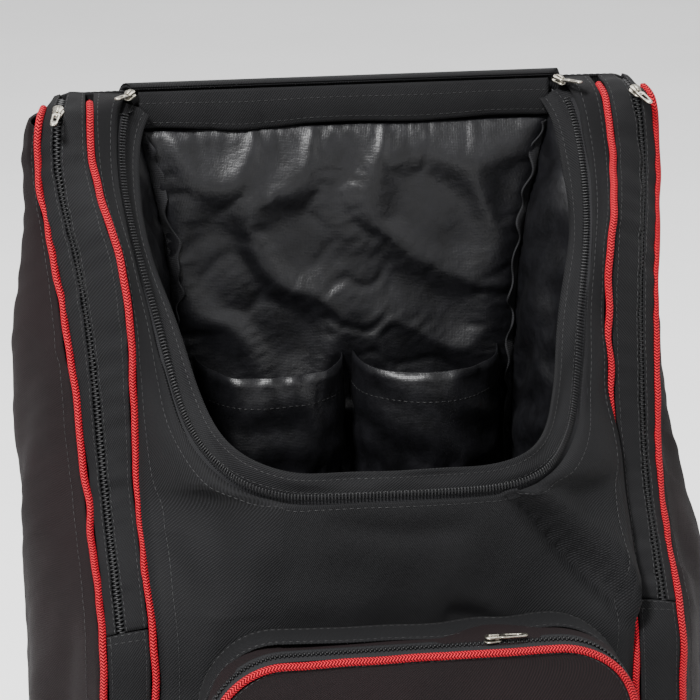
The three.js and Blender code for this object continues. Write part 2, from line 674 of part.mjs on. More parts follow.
// A line that runs along the outline. across is the direction it spreads in and y says how far out it lies.
function outlineStations(line, across, y) {
  return line.map(({ x, z }, k) => {
    const before = line[Math.max(k - 1, 0)];
    const after = line[Math.min(k + 1, line.length - 1)];
    const along = new THREE.Vector3(after.x - before.x, 0, after.z - before.z).normalize();
    const normal = new THREE.Vector3(-along.z, 0, along.x);
    return { point: new THREE.Vector3(x, y(x, z), z), across, normal };
  });
}
const forwards = new THREE.Vector3(0, -1, 0);
const pipingProfile = [
  [-pipingRadius, 0.3 * pipingRadius, -0.3 * pipingRadius],
  [0, pipingRadius, -pipingRadius],
  [pipingRadius, 0.3 * pipingRadius, -0.3 * pipingRadius],
];
const pocketPipingStations = outlineStations(outline, forwards, () => pocketFaceY);
add("pocket_piping", strip(pocketPipingStations, pipingProfile, 1), redPiping);

// The pocket's face, as rows from its top edge to its bottom edge.
function pocketHalfWidth(z, inset) {
  const half = pocketWidth / 2 - inset;
  const [low, high] = [pocketBottom + inset, pocketTop - inset];
  const cornerCut = (radius, from) => {
    if (from >= radius) return 0;
    return radius - Math.sqrt(radius ** 2 - (radius - from) ** 2);
  };
  const large = pocketTopRadius - inset;
  const small = pocketBottomRadius - inset;
  return half - cornerCut(large, high - z) - cornerCut(small, z - low);
}
const faceInset = seamMargin + 2 * clearance;
const cornerRows = (radius) => [0, 0.1, 0.3, 0.6, 1].map((share) => share * radius);
const faceTop = pocketTop - faceInset;
const faceBottom = pocketBottom + faceInset;
const topArc = cornerRows(pocketTopRadius - faceInset).map((drop) => faceTop - drop);
const bottomArc = cornerRows(pocketBottomRadius - faceInset).map((drop) => faceBottom + drop).reverse();
const faceRows = [...topArc, ...spread(topArc.at(-1), bottomArc[0], 7).slice(1, -1), ...bottomArc];
const faceGrid = faceRows.map((z) => {
  const half = pocketHalfWidth(z, faceInset);
  const up = (2 * (z - faceBottom)) / (faceTop - faceBottom) - 1;
  return spread(-1, 1, 7).map((x) => {
    const dome = pocketDome * (1 - up ** 4) * (1 - x ** 4);
    return new THREE.Vector3(x * half + pocketShift, pocketFaceY - dome, z);
  });
});
add("pocket_face", cloth(faceGrid, clothThickness, -1), twill);

// The pocket's zip lies on the gusset, over the top and a way down both sides.
const zipLine = outline.filter(({ z }) => z > pocketTop - pocketZipDrop);
const pocketZipEdge = pocketFaceY + seamMargin + pocketZipSetback;
const pocketZipStations = outlineStations(zipLine, forwards.clone().negate(), () => pocketZipEdge);
const middle = pocketZipWidth / 2;
const pocketZipProfile = [
  [0, clearance + zipTapeThickness, clearance],
  [middle - coilWidth / 2, clearance + zipTapeThickness, clearance],
  [middle - coilWidth / 2 + coilFlank, clearance + zipTapeThickness + coilHeight, clearance],
  [middle + coilWidth / 2 - coilFlank, clearance + zipTapeThickness + coilHeight, clearance],
  [middle + coilWidth / 2, clearance + zipTapeThickness, clearance],
  [pocketZipWidth, clearance + zipTapeThickness, clearance],
];
add("pocket_zip", strip(pocketZipStations, pocketZipProfile, -1), zipCoil);

// The rain flap, sewn to the front panel above the pocket
const rainLine = outline.filter(({ z }) => z > pocketTop - rainFlapDrop);
const rainStations = outlineStations(rainLine, forwards, (x, z) => frontFaceY(x, z) - rainFlapStart);
const rainFlapProfile = [
  [0, liningThickness + 2 * clearance, 2 * clearance],
  [0.5 * rainFlapWidth, liningThickness + rainFlapRise, rainFlapRise],
  [rainFlapWidth, liningThickness + rainFlapRise, rainFlapRise],
];
add("pocket_rain_flap", strip(rainStations, rainFlapProfile, 1), twill);

// Sliders: a tapered body with its pull lying flat beside it
function sliderShape() {
  const [w, l, p, q] = [sliderWidth / 2, sliderLength, pullWidth / 2, pullLength];
  const shape = new THREE.Shape();
  shape.moveTo(-w, 0);
  shape.lineTo(w, 0);
  shape.lineTo(w * 0.7, l);
  shape.lineTo(p * 0.6, l);
  shape.lineTo(p, l + 0.3 * q);
  shape.lineTo(p, l + q);
  shape.lineTo(-p, l + q);
  shape.lineTo(-p, l + 0.3 * q);
  shape.lineTo(-p * 0.6, l);
  shape.lineTo(-w * 0.7, l);
  shape.closePath();
  return new THREE.ExtrudeGeometry(shape, { depth: sliderThickness, bevelEnabled: false });
}
// heading is where the pull points and up is the direction away from the zip.
function addSlider(name, point, heading, up) {
  const slider = add(name, sliderShape(), sliderMetal);
  const y = heading.clone().normalize();
  const z = up.clone().addScaledVector(y, -up.dot(y)).normalize();
  const x = y.clone().cross(z);
  slider.quaternion.setFromRotationMatrix(new THREE.Matrix4().makeBasis(x, y, z));
  slider.position.copy(point);
}
const sliderRow = 14.2;
const mainSliderRow = 14.7;
for (const { name, side } of sides) {
  const seat = gussetPoint(sliderRow, zipShare, side);
  const ahead = gussetPoint(sliderRow + 0.3, zipShare, side);
  const beside = gussetPoint(sliderRow, zipShare + 0.1, side);
  const along = ahead.sub(seat);
  const up = beside.sub(seat).cross(along).multiplyScalar(-side).normalize();
  addSlider("side_slider_" + name, seat.addScaledVector(up, -sliderSink), along.multiplyScalar(-1), up);

  const hinge = mouthLine(mainSliderRow, side);
  hinge.x -= side * (halfZipReach - coilWidth / 2);
  const forward = mouthLine(mainSliderRow - 0.6, side).sub(mouthLine(mainSliderRow, side));
  hinge.z += mainSliderLift;
  addSlider("main_slider_" + name, hinge, forward, new THREE.Vector3(0, 0, 1));
}
const pocketSliderSeat = new THREE.Vector3(
  pocketSliderX,
  pocketZipEdge + pocketZipWidth / 2,
  pocketTop + zipTapeThickness + coilHeight + 2 * clearance,
);
addSlider("pocket_slider", pocketSliderSeat, new THREE.Vector3(1, 0, 0), new THREE.Vector3(0, 0, 1));
export default bag;
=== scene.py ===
"""The looks of a padded kit bag that stands upright with its flap thrown back.

Lengths are in metres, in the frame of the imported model: +Z up, +X to the viewer's right, the front at -Y.
"""

import math

import bpy
import numpy as np
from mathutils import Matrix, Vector


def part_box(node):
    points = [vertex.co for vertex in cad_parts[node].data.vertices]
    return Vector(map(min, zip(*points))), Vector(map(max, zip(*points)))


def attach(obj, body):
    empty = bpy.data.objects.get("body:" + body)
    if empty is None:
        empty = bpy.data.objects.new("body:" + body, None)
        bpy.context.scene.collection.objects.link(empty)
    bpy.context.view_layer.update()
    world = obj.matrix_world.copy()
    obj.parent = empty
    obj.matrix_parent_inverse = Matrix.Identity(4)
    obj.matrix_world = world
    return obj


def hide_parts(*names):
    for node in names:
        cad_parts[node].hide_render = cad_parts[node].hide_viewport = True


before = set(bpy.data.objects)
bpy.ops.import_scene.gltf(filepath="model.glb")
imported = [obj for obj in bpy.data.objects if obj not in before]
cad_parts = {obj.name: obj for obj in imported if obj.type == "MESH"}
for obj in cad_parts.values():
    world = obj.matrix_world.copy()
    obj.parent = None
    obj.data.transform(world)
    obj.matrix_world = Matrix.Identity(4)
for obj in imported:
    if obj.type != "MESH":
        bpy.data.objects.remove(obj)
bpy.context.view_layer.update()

MM = 0.001

# Sizes read from the frame
BACK_LOW, BACK_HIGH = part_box("back_panel")
HEIGHT = BACK_HIGH.z
FOOTING = BACK_LOW.z
BACK_PLANE = BACK_HIGH.y
CLOTH = BACK_PLANE - BACK_LOW.y
BACK_INNER = BACK_LOW.y - 0.3 * MM
HALF_WIDTH = (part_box("side_panel_right")[1].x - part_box("side_panel_left")[0].x) / 2
LINING_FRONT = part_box("lining_back")[0].y
BAND_LOW, BAND_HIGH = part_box("top_band")
SLEEVE_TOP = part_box("bat_sleeve_left")[1].z
SLEEVE_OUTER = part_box("bat_sleeve_right")[1].x
SLEEVE_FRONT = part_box("bat_sleeve_left")[0].y
POCKET_LOW, POCKET_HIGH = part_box("pocket_gusset")
PIPING_FRONT, PIPING_REAR = (corner.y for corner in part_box("pocket_piping"))
POCKET_FACE = (PIPING_FRONT + PIPING_REAR) / 2
PIPING_RADIUS = (PIPING_REAR - PIPING_FRONT) / 2

# Sizes that the scene shares with the frame's design
DEPTH = 240 * MM
LINING = 0.6 * MM
SEAM_MARGIN = PIPING_RADIUS + 0.4 * MM
ZIP_SHARE = 0.37
COIL_WIDTH = 5.6 * MM
COIL_PITCH = 2.1 * MM
TAPE_WIDTH = 28 * MM
ZIP_REACH = 7 * MM
FACING_REACH = 19 * MM

# The bag's seams, from the base at row 0, up the front and over the top to the back panel.
# x is a share of half the width, d a share of the depth forward from the back, z a share of the height.
COLUMNS = (
    "innerX", "innerD", "innerZ", "outerX", "outerD", "outerZ", "mouthX", "mouthD", "mouthZ",
    "sideLeft", "sideRight", "rearX", "rearZ", "coreX",
)
SEAMS = np.array([
    [0.686, 1.0, 0.0, 0.804, 0.96, 0.0, 0.343, 1.03, 0.0, 0.906, 0.906, 0.837, 0.0, 0.51],
    [0.686, 1.015, 0.136, 0.816, 0.977, 0.136, 0.343, 1.048, 0.136, 0.963, 0.963, 0.865, 0.136, 0.51],
    [0.682, 1.018, 0.373, 0.82, 0.981, 0.373, 0.339, 1.052, 0.373, 0.992, 0.996, 0.882, 0.373, 0.51],
    [0.678, 1.002, 0.545, 0.816, 0.977, 0.545, 0.335, 1.04, 0.55, 1.0, 1.0, 0.886, 0.55, 0.51],
    [0.673, 0.96, 0.621, 0.812, 0.952, 0.618, 0.331, 1.01, 0.63, 1.0, 0.98, 0.886, 0.635, 0.51],
    [0.678, 0.835, 0.669, 0.812, 0.835, 0.655, 0.327, 0.994, 0.685, 0.996, 0.947, 0.886, 0.692, 0.51],
    [0.682, 0.702, 0.708, 0.816, 0.698, 0.687, 0.327, 0.973, 0.737, 0.996, 0.931, 0.886, 0.737, 0.512],
    [0.686, 0.644, 0.731, 0.82, 0.61, 0.717, 0.449, 0.919, 0.748, 0.996, 0.918, 0.882, 0.771, 0.514],
    [0.682, 0.602, 0.757, 0.829, 0.544, 0.748, 0.531, 0.794, 0.765, 0.992, 0.906, 0.878, 0.807, 0.518],
    [0.682, 0.56, 0.794, 0.837, 0.485, 0.786, 0.584, 0.648, 0.788, 0.984, 0.902, 0.873, 0.848, 0.527],
    [0.682, 0.519, 0.841, 0.853, 0.385, 0.837, 0.62, 0.515, 0.844, 0.967, 0.898, 0.869, 0.895, 0.551],
    [0.698, 0.46, 0.89, 0.873, 0.294, 0.882, 0.653, 0.419, 0.889, 0.955, 0.902, 0.869, 0.931, 0.578],
    [0.727, 0.365, 0.921, 0.894, 0.206, 0.916, 0.678, 0.294, 0.924, 0.943, 0.91, 0.869, 0.96, 0.6],
    [0.751, 0.219, 0.954, 0.906, 0.144, 0.95, 0.686, 0.169, 0.958, 0.931, 0.918, 0.869, 0.978, 0.612],
    [0.751, 0.115, 0.989, 0.894, 0.115, 0.986, 0.665, 0.077, 0.994, 0.902, 0.898, 0.869, 0.989, 0.616],
    [0.743, 0.0, 0.999, 0.857, 0.0, 0.997, 0.629, 0.0, 0.999, 0.864, 0.864, 0.861, 0.995, 0.616],
])
TOP_ROW = len(SEAMS) - 1
MOUTH_ROW = 6
ZIP_FOOT_ROW = 4.35
SIDE_TOP_ROW = 13.5


def column(name, row):
    """A column of the table at any row, on a smooth curve through its rows."""
    values = SEAMS[:, COLUMNS.index(name)]
    row = np.asarray(row, float)
    i = np.clip(np.floor(row).astype(int), 0, TOP_ROW - 1)
    f = row - i
    a, b, m, n = (values[np.clip(i + k, 0, TOP_ROW)] for k in (-1, 0, 1, 2))
    return b + 0.5 * f * (m - a + f * (2 * a - 5 * b + 4 * m - n + f * (3 * (b - m) + n - a)))


def point(x, y, z):
    return np.stack(np.broadcast_arrays(x, y, z), -1).astype(float)


def seam(name, row, side):
    x = side * HALF_WIDTH * column(name + "X", row)
    y = BACK_INNER - DEPTH * column(name + "D", row)
    z = FOOTING + (HEIGHT - FOOTING) * column(name + "Z", row)
    return point(x, y, z)


def rear_corner(row, side, x_column="rearX", y=None):
    z = FOOTING + (HEIGHT - FOOTING) * column("rearZ", row)
    return point(side * HALF_WIDTH * column(x_column, row), BACK_INNER if y is None else y, z)


# Vector and surface helpers

def unit(v):
    return v / np.maximum(np.linalg.norm(v, axis=-1, keepdims=True), 1e-9)


def lerp(a, b, t):
    return a + (b - a) * t


def smooth(t):
    t = np.clip(t, 0, 1)
    return t * t * (3 - 2 * t)


def normals_of(grid, turn):
    """Unit normals of a grid of points. With turn 1 they follow column direction x row direction."""
    across = np.gradient(grid, axis=1)
    up = np.gradient(grid, axis=0)
    return unit(np.cross(across, up)) * turn


def ripple(x, y, seed, size, count=14):
    """A smooth random field between about -1 and 1, of waves about size long."""
    rng = np.random.default_rng(seed)
    total = np.zeros(np.broadcast(x, y).shape)
    for angle, phase, stretch in zip(rng.uniform(0, math.pi, count), rng.uniform(0, 6.28, count),
                                     rng.uniform(0.7, 1.6, count)):
        k = 2 * math.pi / (size * stretch)
        total = total + np.sin(k * (x * math.cos(angle) + y * math.sin(angle)) + phase)
    return total / math.sqrt(count)


def crease_field(x, z, path, width, lift):
    """A fold along a path of (x, z) points: 1 in its valley, -lift on the swell above it, 0 far off."""
    best = np.full(np.broadcast(x, z).shape, 1e9)
    signed = np.zeros_like(best)
    share = np.zeros_like(best)
    count = len(path) - 1
    for k, (a, b) in enumerate(zip(path[:-1], path[1:])):
        a, b = np.array(a), np.array(b)
        run = b - a
        length = np.linalg.norm(run)
        raw = ((x - a[0]) * run[0] + (z - a[1]) * run[1]) / length**2
        t = np.clip(raw, 0, 1)
        off = np.hypot(x - a[0] - t * run[0], z - a[1] - t * run[1])
        left = ((z - a[1]) * run[0] - (x - a[0]) * run[1]) / length
        nearer = off < best
        best = np.where(nearer, off, best)
        signed = np.where(nearer, np.sign(left) * off, signed)
        share = np.where(nearer, (k + t) / count, share)
    fade = np.clip(4 * share * (1 - share), 0, 1) ** 0.5
    valley = np.exp(-((best / width) ** 2))
    swell = np.exp(-(((signed - 1.6 * width) / (1.5 * width)) ** 2))
    return fade * (valley - lift * swell)


def pins_at(shape, rows, columns):
    """Which points of a grid are sewn down: all in some rows and columns."""
    pinned = np.zeros(shape, bool)
    pinned[rows] = True
    pinned[:, columns] = True
    return pinned


def settle(flat, begin, slack, pinned, steps, keep_in=None, pull=(0, 0, 0), bend=0.12):
    """Cloth that is cut slack longer than the frame it is sewn into finds its own folds, from begin on."""
    cloth = begin.copy()
    free = np.where(pinned, 0.0, 1.0)[..., None]
    ties = []
    for di, dj, stiffness in ((0, 1, 1), (1, 0, 1), (1, 1, 0.35), (1, -1, 0.35), (0, 2, bend), (2, 0, bend)):
        stride = 2 * max(di, abs(dj))
        for k in range(stride):
            if di == 0:
                a = (slice(None), slice(k, flat.shape[1] - dj, stride))
                b = (slice(None), slice(k + dj, None, stride))
            else:
                left, right = (slice(0, -1), slice(1, None)) if dj else (slice(None), slice(None))
                if dj < 0:
                    left, right = right, left
                a = (slice(k, flat.shape[0] - di, stride), left)
                b = (slice(k + di, None, stride), right)
            rest = np.linalg.norm(flat[b] - flat[a], axis=-1, keepdims=True) * (1 + slack)
            ties.append((a, b, rest, stiffness))
    for _ in range(steps):
        cloth += free * np.array(pull)
        for a, b, rest, stiffness in ties:
            run = cloth[b] - cloth[a]
            length = np.linalg.norm(run, axis=-1, keepdims=True)
            share = (stiffness * (length - rest) / np.maximum(length, 1e-9)
                     / np.maximum(free[a] + free[b], 1e-9))
            cloth[a] += free[a] * share * run
            cloth[b] -= free[b] * share * run
        if keep_in is not None:
            cloth = keep_in(cloth)
    return cloth


def lengths_of(path):
    """How far each point of a path is along it."""
    return np.concatenate([[0], np.cumsum(np.linalg.norm(np.diff(path, axis=0), axis=-1))])


def grid_cells(rows, columns):
    """The numbers of a grid's points, and the four round each of its cells."""
    index = np.arange(rows * columns).reshape(rows, columns)
    return index, np.stack([index[:-1, :-1], index[:-1, 1:], index[1:, 1:], index[1:, :-1]], -1)


# Meshes

def show(obj, slot, *nodes):
    """Puts a finished piece on the bag, in place of the frame's nodes."""
    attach(obj, "root")
    if nodes:
        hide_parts(*nodes)
    return obj


def make_object(name, verts, faces, material, uvs=None):
    mesh = bpy.data.meshes.new(name)
    mesh.from_pydata(np.asarray(verts).reshape(-1, 3).tolist(), [], [list(f) for f in faces])
    mesh.materials.append(material)
    if uvs is not None:
        loops = np.zeros(len(mesh.loops), int)
        mesh.loops.foreach_get("vertex_index", loops)
        layer = mesh.uv_layers.new(name="cloth")
        layer.data.foreach_set("uv", np.asarray(uvs)[loops].astype(np.float32).ravel())
    mesh.polygons.foreach_set("use_smooth", np.ones(len(mesh.polygons), bool))
    mesh.update()
    obj = bpy.data.objects.new(name, mesh)
    bpy.context.scene.collection.objects.link(obj)
    return obj


def cloth_uv(grid):
    """Coordinates in metres along the threads, so that a weave keeps its scale on every piece."""
    across = np.linalg.norm(np.diff(grid, axis=1), axis=-1).mean(0)
    up = np.linalg.norm(np.diff(grid, axis=0), axis=-1).mean(1)
    u = np.concatenate([[0], np.cumsum(across)])
    v = np.concatenate([[0], np.cumsum(up)])
    return np.stack(np.meshgrid(u - u.mean(), v), -1).reshape(-1, 2)


def panel(name, grid, material, turn=1, thickness=CLOTH, keep=None):
    """A cloth panel from a grid of points on its outer face, its thickness going inwards."""
    rows, columns = grid.shape[:2]
    cells = grid_cells(rows, columns)[1]
    if keep is not None:
        cells = cells[keep]
    faces = cells.reshape(-1, 4)
    if turn < 0:
        faces = faces[:, ::-1]
    uvs = cloth_uv(grid)
    used = np.unique(faces)
    remap = np.full(rows * columns, -1)
    remap[used] = np.arange(len(used))
    obj = make_object(name, grid.reshape(-1, 3)[used], remap[faces], material, uvs[used])
    if thickness:
        solid = obj.modifiers.new("thickness", "SOLIDIFY")
        solid.thickness = thickness
        solid.offset = -1
    return obj


def resample(path, spacing, extras=()):
    """Evenly spaced points along a path, with any arrays that go with it."""
    length = lengths_of(path)
    count = max(2, int(round(length[-1] / spacing)) + 1)
    s = np.linspace(0, length[-1], count)
    pick = lambda values: np.stack([np.interp(s, length, values[:, k]) for k in range(values.shape[1])], -1)
    return [pick(path), *[pick(e) for e in extras]]


def frames_along(path, normals):
    """Points with unit directions along, across and out of the surface."""
    along = unit(np.gradient(path, axis=0))
    across = unit(np.cross(normals, along))
    return path, along, across, unit(np.cross(along, across))


def tube(name, path, radius, material, sides=12, hint=(0, -1, 0)):
    """A round cord along a path, with rounded ends."""
    along = unit(np.gradient(path, axis=0))
    normal = np.array(hint, float)
    rings = []
    radii = np.full(len(path), radius)
    radii[0] = radii[-1] = 0.45 * radius
    for p, t, r in zip(path, along, radii):
        normal = normal - t * normal.dot(t)
        normal = normal / np.linalg.norm(normal)
        side = np.cross(t, normal)
        angle = np.linspace(0, 2 * math.pi, sides + 1)[:, None]
        rings.append(p + r * (np.cos(angle) * normal + np.sin(angle) * side))
    rings = np.array(rings)
    rows, columns = rings.shape[:2]
    around = np.linspace(0, 2 * math.pi * radius, columns)
    uvs = np.stack(np.meshgrid(around, lengths_of(path)), -1).reshape(-1, 2)
    index, cells = grid_cells(rows, columns)
    faces = [*cells.reshape(-1, 4), index[0, :-1][::-1], index[-1, :-1]]
    return make_object(name, rings, faces, material, uvs)


class Bits:
    """Many small closed bodies gathered into one mesh."""

    def __init__(self):
        self.verts, self.faces, self.uvs, self.count = [], [], [], 0

    def loft(self, rings, closed=False):
        """A body through rings of equally many points: closed on itself, or capped at both ends."""
        rings = np.asarray(rings, float)
        rows, sides = rings.shape[:2]
        self.verts.append(rings.reshape(-1, 3))
        index = self.count + np.arange(rows * sides).reshape(rows, sides)
        for i in range(rows if closed else rows - 1):
            for j in range(sides):
                k, i2 = (j + 1) % sides, (i + 1) % rows
                self.faces.append([index[i, j], index[i, k], index[i2, k], index[i2, j]])
        if not closed:
            self.faces += [index[0, ::-1], index[-1]]
        self.count += rows * sides

    def make(self, name, material):
        verts = np.concatenate(self.verts)
        return make_object(name, verts, self.faces, material, verts[:, [0, 2]])


def ring(centre, a, b, ra, rb, sides=6):
    angle = np.linspace(0, 2 * math.pi, sides, endpoint=False)[:, None]
    return centre + ra * np.cos(angle) * a + rb * np.sin(angle) * b


def teeth(bits, frames, start, end, lift, pitch=1.7 * MM):
    """A row of coil teeth that reach from start to end across a zip's edge."""
    for p, t, x, n in zip(*frames):
        middle = p + n * lift
        shape = [(start, 0.42), (lerp(start, end, 0.3), 0.5), (lerp(start, end, 0.78), 0.72), (end, 0.5)]
        bits.loft([ring(middle + x * reach, t, n, pitch * 0.62 * w, pitch * 0.85 * w) for reach, w in shape])


def stitches(bits, path, normals, length=3.4 * MM, gap=1.3 * MM, thick=0.42 * MM, lift=0.1 * MM):
    """A line of sewn stitches lying on a surface."""
    p, n = resample(path, length + gap, (normals,))
    p, t, x, n = frames_along(p, n)
    for k in range(len(p) - 1):
        d = unit(p[k + 1] - p[k])
        a, b = p[k] + n[k] * lift, p[k] + d * length + n[k] * lift
        spans = ((0, 0.35, -0.25), (0.2, 1, 0.25), (0.8, 1, 0.25), (1, 0.35, -0.25))
        bits.loft([ring(lerp(a, b, s) + n[k] * thick * h, x[k], n[k], thick * w * 0.5, thick * w * 0.5, 5)
                   for s, w, h in spans])


def between_points(grid, i, j):
    """Points of a grid at row and column numbers that need not be whole."""
    i0 = np.minimum(i.astype(int), len(grid) - 2)
    j0 = np.minimum(j.astype(int), len(grid[0]) - 2)
    a, b = (i - i0)[:, None], (j - j0)[:, None]
    return lerp(lerp(grid[i0, j0], grid[i0, j0 + 1], b), lerp(grid[i0 + 1, j0], grid[i0 + 1, j0 + 1], b), a)


def sew(bits, grid, turn, columns=(), rows=()):
    """Stitches along some of a grid's columns and rows."""
    normals = normals_of(grid, turn)
    for k in columns:
        stitches(bits, grid[:, k], normals[:, k])
    for k in rows:
        stitches(bits, grid[k], normals[k])


# Materials

class Nodes:
    """A material's node tree, written as a few short calls."""

    def __init__(self, name):
        self.material = bpy.data.materials.new(name)
        self.material.use_nodes = True
        self.tree = self.material.node_tree
        self.shader = self.tree.nodes["Principled BSDF"]
        self.uv = self.add("ShaderNodeTexCoord").outputs["UV"]
        self.where = self.tree.nodes[-1].outputs["Object"]

    def add(self, kind, inputs=None, **settings):
        node = self.tree.nodes.new(kind)
        for key, value in settings.items():
            setattr(node, key, value)
        for key, value in (inputs or {}).items():
            self.put(value, node.inputs[key])
        return node

    def put(self, value, socket):
        if isinstance(value, bpy.types.NodeSocket):
            self.tree.links.new(value, socket)
        else:
            socket.default_value = value

    def turned(self, vector, angle, scale=(1, 1, 1)):
        inputs = {"Vector": vector, "Rotation": (0, 0, angle), "Scale": scale}
        return self.add("ShaderNodeMapping", inputs).outputs[0]

    def bands(self, vector, period, distortion=0.0, detail=0.0):
        """Sine bands across x, with that period in metres."""
        inputs = {"Vector": vector, "Scale": math.pi / 10 / period, "Distortion": distortion,
                  "Detail": detail, "Detail Scale": 1.0}
        return self.add("ShaderNodeTexWave", inputs, wave_type="BANDS", bands_direction="X").outputs["Fac"]

    def noise(self, vector, size, detail=2.0, rough=0.5):
        inputs = {"Vector": vector, "Scale": 1 / size, "Detail": detail, "Roughness": rough}
        return self.add("ShaderNodeTexNoise", inputs).outputs["Fac"]

    def math(self, operation, a, b=0.0):
        return self.add("ShaderNodeMath", {0: a, 1: b}, operation=operation).outputs[0]

    def between(self, share, low, high):
        """low to high as share goes from 0 to 1."""
        node = self.add("ShaderNodeMapRange", {"Value": share, "To Min": low, "To Max": high})
        return node.outputs[0]

    def ramp(self, share, *stops):
        node = self.add("ShaderNodeValToRGB", {"Fac": share})
        elements = node.color_ramp.elements
        for k, (position, color) in enumerate(stops):
            element = elements[k] if k < 2 else elements.new(position)
            element.position = position
            element.color = (*color, 1)
        return node.outputs["Color"]

    def bump(self, height, distance, strength=1.0, under=None):
        inputs = {"Height": height, "Distance": distance, "Strength": strength}
        if under is not None:
            inputs["Normal"] = under
        return self.add("ShaderNodeBump", inputs).outputs["Normal"]

    def finish(self, **values):
        for key, value in values.items():
            self.put(value, self.shader.inputs[key.replace("_", " ")])
        return self.material


def twill(name, dark, light, warm=(0, 0, 0), period=1.45 * MM):
    """Diagonal twill of coarse synthetic yarn, with worn, dusty patches."""
    n = Nodes(name)
    yarn_noise = n.noise(n.uv, 9 * MM, 3)
    rib = n.bands(n.turned(n.uv, math.radians(38)), period, 0.5, 1.0)
    cross = n.bands(n.turned(n.uv, math.radians(-52)), 1.15 * MM, 0.8, 1.0)
    weave = n.math("MULTIPLY", rib, n.between(cross, 0.45, 1.0))
    fleck = n.noise(n.uv, 0.9 * MM, 2, 0.7)
    shade = n.math("ADD", n.math("MULTIPLY", weave, 0.62), n.math("MULTIPLY", fleck, 0.45))
    patches = n.noise(n.where, 90 * MM, 4, 0.6)
    shade = n.math("MULTIPLY", shade, n.between(patches, 0.72, 1.28))
    tone = tuple(a + b for a, b in zip(light, warm))
    color = n.ramp(shade, (0.18, dark), (0.56, light), (0.9, tone))
    normal = n.bump(weave, 0.35 * MM, 0.85, n.bump(yarn_noise, 1.2 * MM, 0.35))
    rough = n.between(n.math("ADD", fleck, weave), 0.56, 0.84)
    return n.finish(Base_Color=color, Roughness=rough, Normal=normal, Sheen_Weight=0.006, Sheen_Roughness=0.4,
                    Specular_IOR_Level=0.12)


def nylon(name):
    """Thin glossy lining, finely woven, with hair-fine crush marks."""
    n = Nodes(name)
    warp = n.bands(n.uv, 1.1 * MM, 0.2)
    weft = n.bands(n.turned(n.uv, math.pi / 2), 1.1 * MM, 0.2)
    weave = n.math("ADD", warp, weft)
    crush = n.noise(n.where, 13 * MM, 5, 0.62)
    fine = n.noise(n.where, 4 * MM, 3, 0.6)
    color = n.ramp(crush, (0.3, (0.002, 0.002, 0.0024)), (0.7, (0.0045, 0.0045, 0.0055)))
    normal = n.bump(weave, 0.06 * MM, 0.5, n.bump(fine, 0.3 * MM, 0.3, n.bump(crush, 2.0 * MM, 0.4)))
    return n.finish(Base_Color=color, Roughness=n.between(crush, 0.33, 0.48), Normal=normal,
                    Specular_IOR_Level=0.3)


def braid(name):
    """Red cord piping, braided in a herringbone."""
    n = Nodes(name)
    parts = n.add("ShaderNodeSeparateXYZ", {0: n.uv})
    girth = 2 * math.pi * PIPING_RADIUS
    turns = n.math("FRACT", n.math("MULTIPLY", parts.outputs[0], 4 / girth))
    folded = n.math("ABSOLUTE", n.math("SUBTRACT", turns, 0.5))
    lean = n.math("ADD", parts.outputs[1], n.math("MULTIPLY", folded, 3.4 * MM))
    vector = n.add("ShaderNodeCombineXYZ", {0: lean}).outputs[0]
    plait = n.bands(vector, 2.1 * MM, 0.3, 1.0)
    edge = n.math("MULTIPLY", folded, 2.0)
    height = n.math("ADD", plait, n.math("MULTIPLY", edge, 0.6))
    grime = n.noise(n.where, 35 * MM, 4, 0.65)
    shade = n.math("MULTIPLY", n.between(plait, 0.08, 1.1), n.between(grime, 0.7, 1.15))
    color = n.ramp(shade, (0.1, (0.02, 0.0002, 0.0004)), (0.6, (0.28, 0.0015, 0.007)),
                   (1.0, (0.52, 0.007, 0.024)))
    normal = n.bump(height, 0.8 * MM, 1.0)
    return n.finish(Base_Color=color, Roughness=n.between(plait, 0.8, 0.6), Normal=normal,
                    Specular_IOR_Level=0.12)


def tape_cloth(name, color=(0.004, 0.004, 0.0045)):
    """Woven ribbon: zip tape and seam binding."""
    n = Nodes(name)
    ribs = n.bands(n.uv, 1.0 * MM, 0.2)
    cross = n.bands(n.turned(n.uv, math.pi / 2), 1.5 * MM, 0.4)
    weave = n.math("ADD", ribs, cross)
    fuzz = n.noise(n.where, 3 * MM, 4, 0.7)
    shade = n.math("MULTIPLY", n.between(weave, 0.5, 0.9), n.between(fuzz, 0.6, 1.3))
    tones = n.ramp(shade, (0.1, tuple(0.4 * c for c in color)), (1.0, tuple(2.2 * c for c in color)))
    return n.finish(Base_Color=tones, Roughness=n.between(fuzz, 0.7, 0.92),
                    Normal=n.bump(weave, 0.2 * MM, 0.7),
                    Specular_IOR_Level=0.2)


def coil_plastic(name):
    """Moulded zip coil, polished where the slider rubs it."""
    n = Nodes(name)
    rub = n.noise(n.where, 6 * MM, 3, 0.6)
    color = n.ramp(rub, (0.3, (0.0012, 0.0012, 0.0015)), (0.75, (0.005, 0.005, 0.0055)))
    normal = n.bump(n.noise(n.where, 1.2 * MM, 2), 0.15 * MM, 0.4)
    return n.finish(Base_Color=color, Roughness=n.between(rub, 0.42, 0.62), Normal=normal,
                    Specular_IOR_Level=0.28)


def thread_material(name):
    n = Nodes(name)
    twist = n.noise(n.where, 0.8 * MM, 2, 0.7)
    color = n.ramp(twist, (0.3, (0.0016, 0.0016, 0.0018)), (0.7, (0.006, 0.006, 0.0066)))
    return n.finish(Base_Color=color, Roughness=n.between(twist, 0.45, 0.7),
                    Normal=n.bump(twist, 0.1 * MM, 0.6))


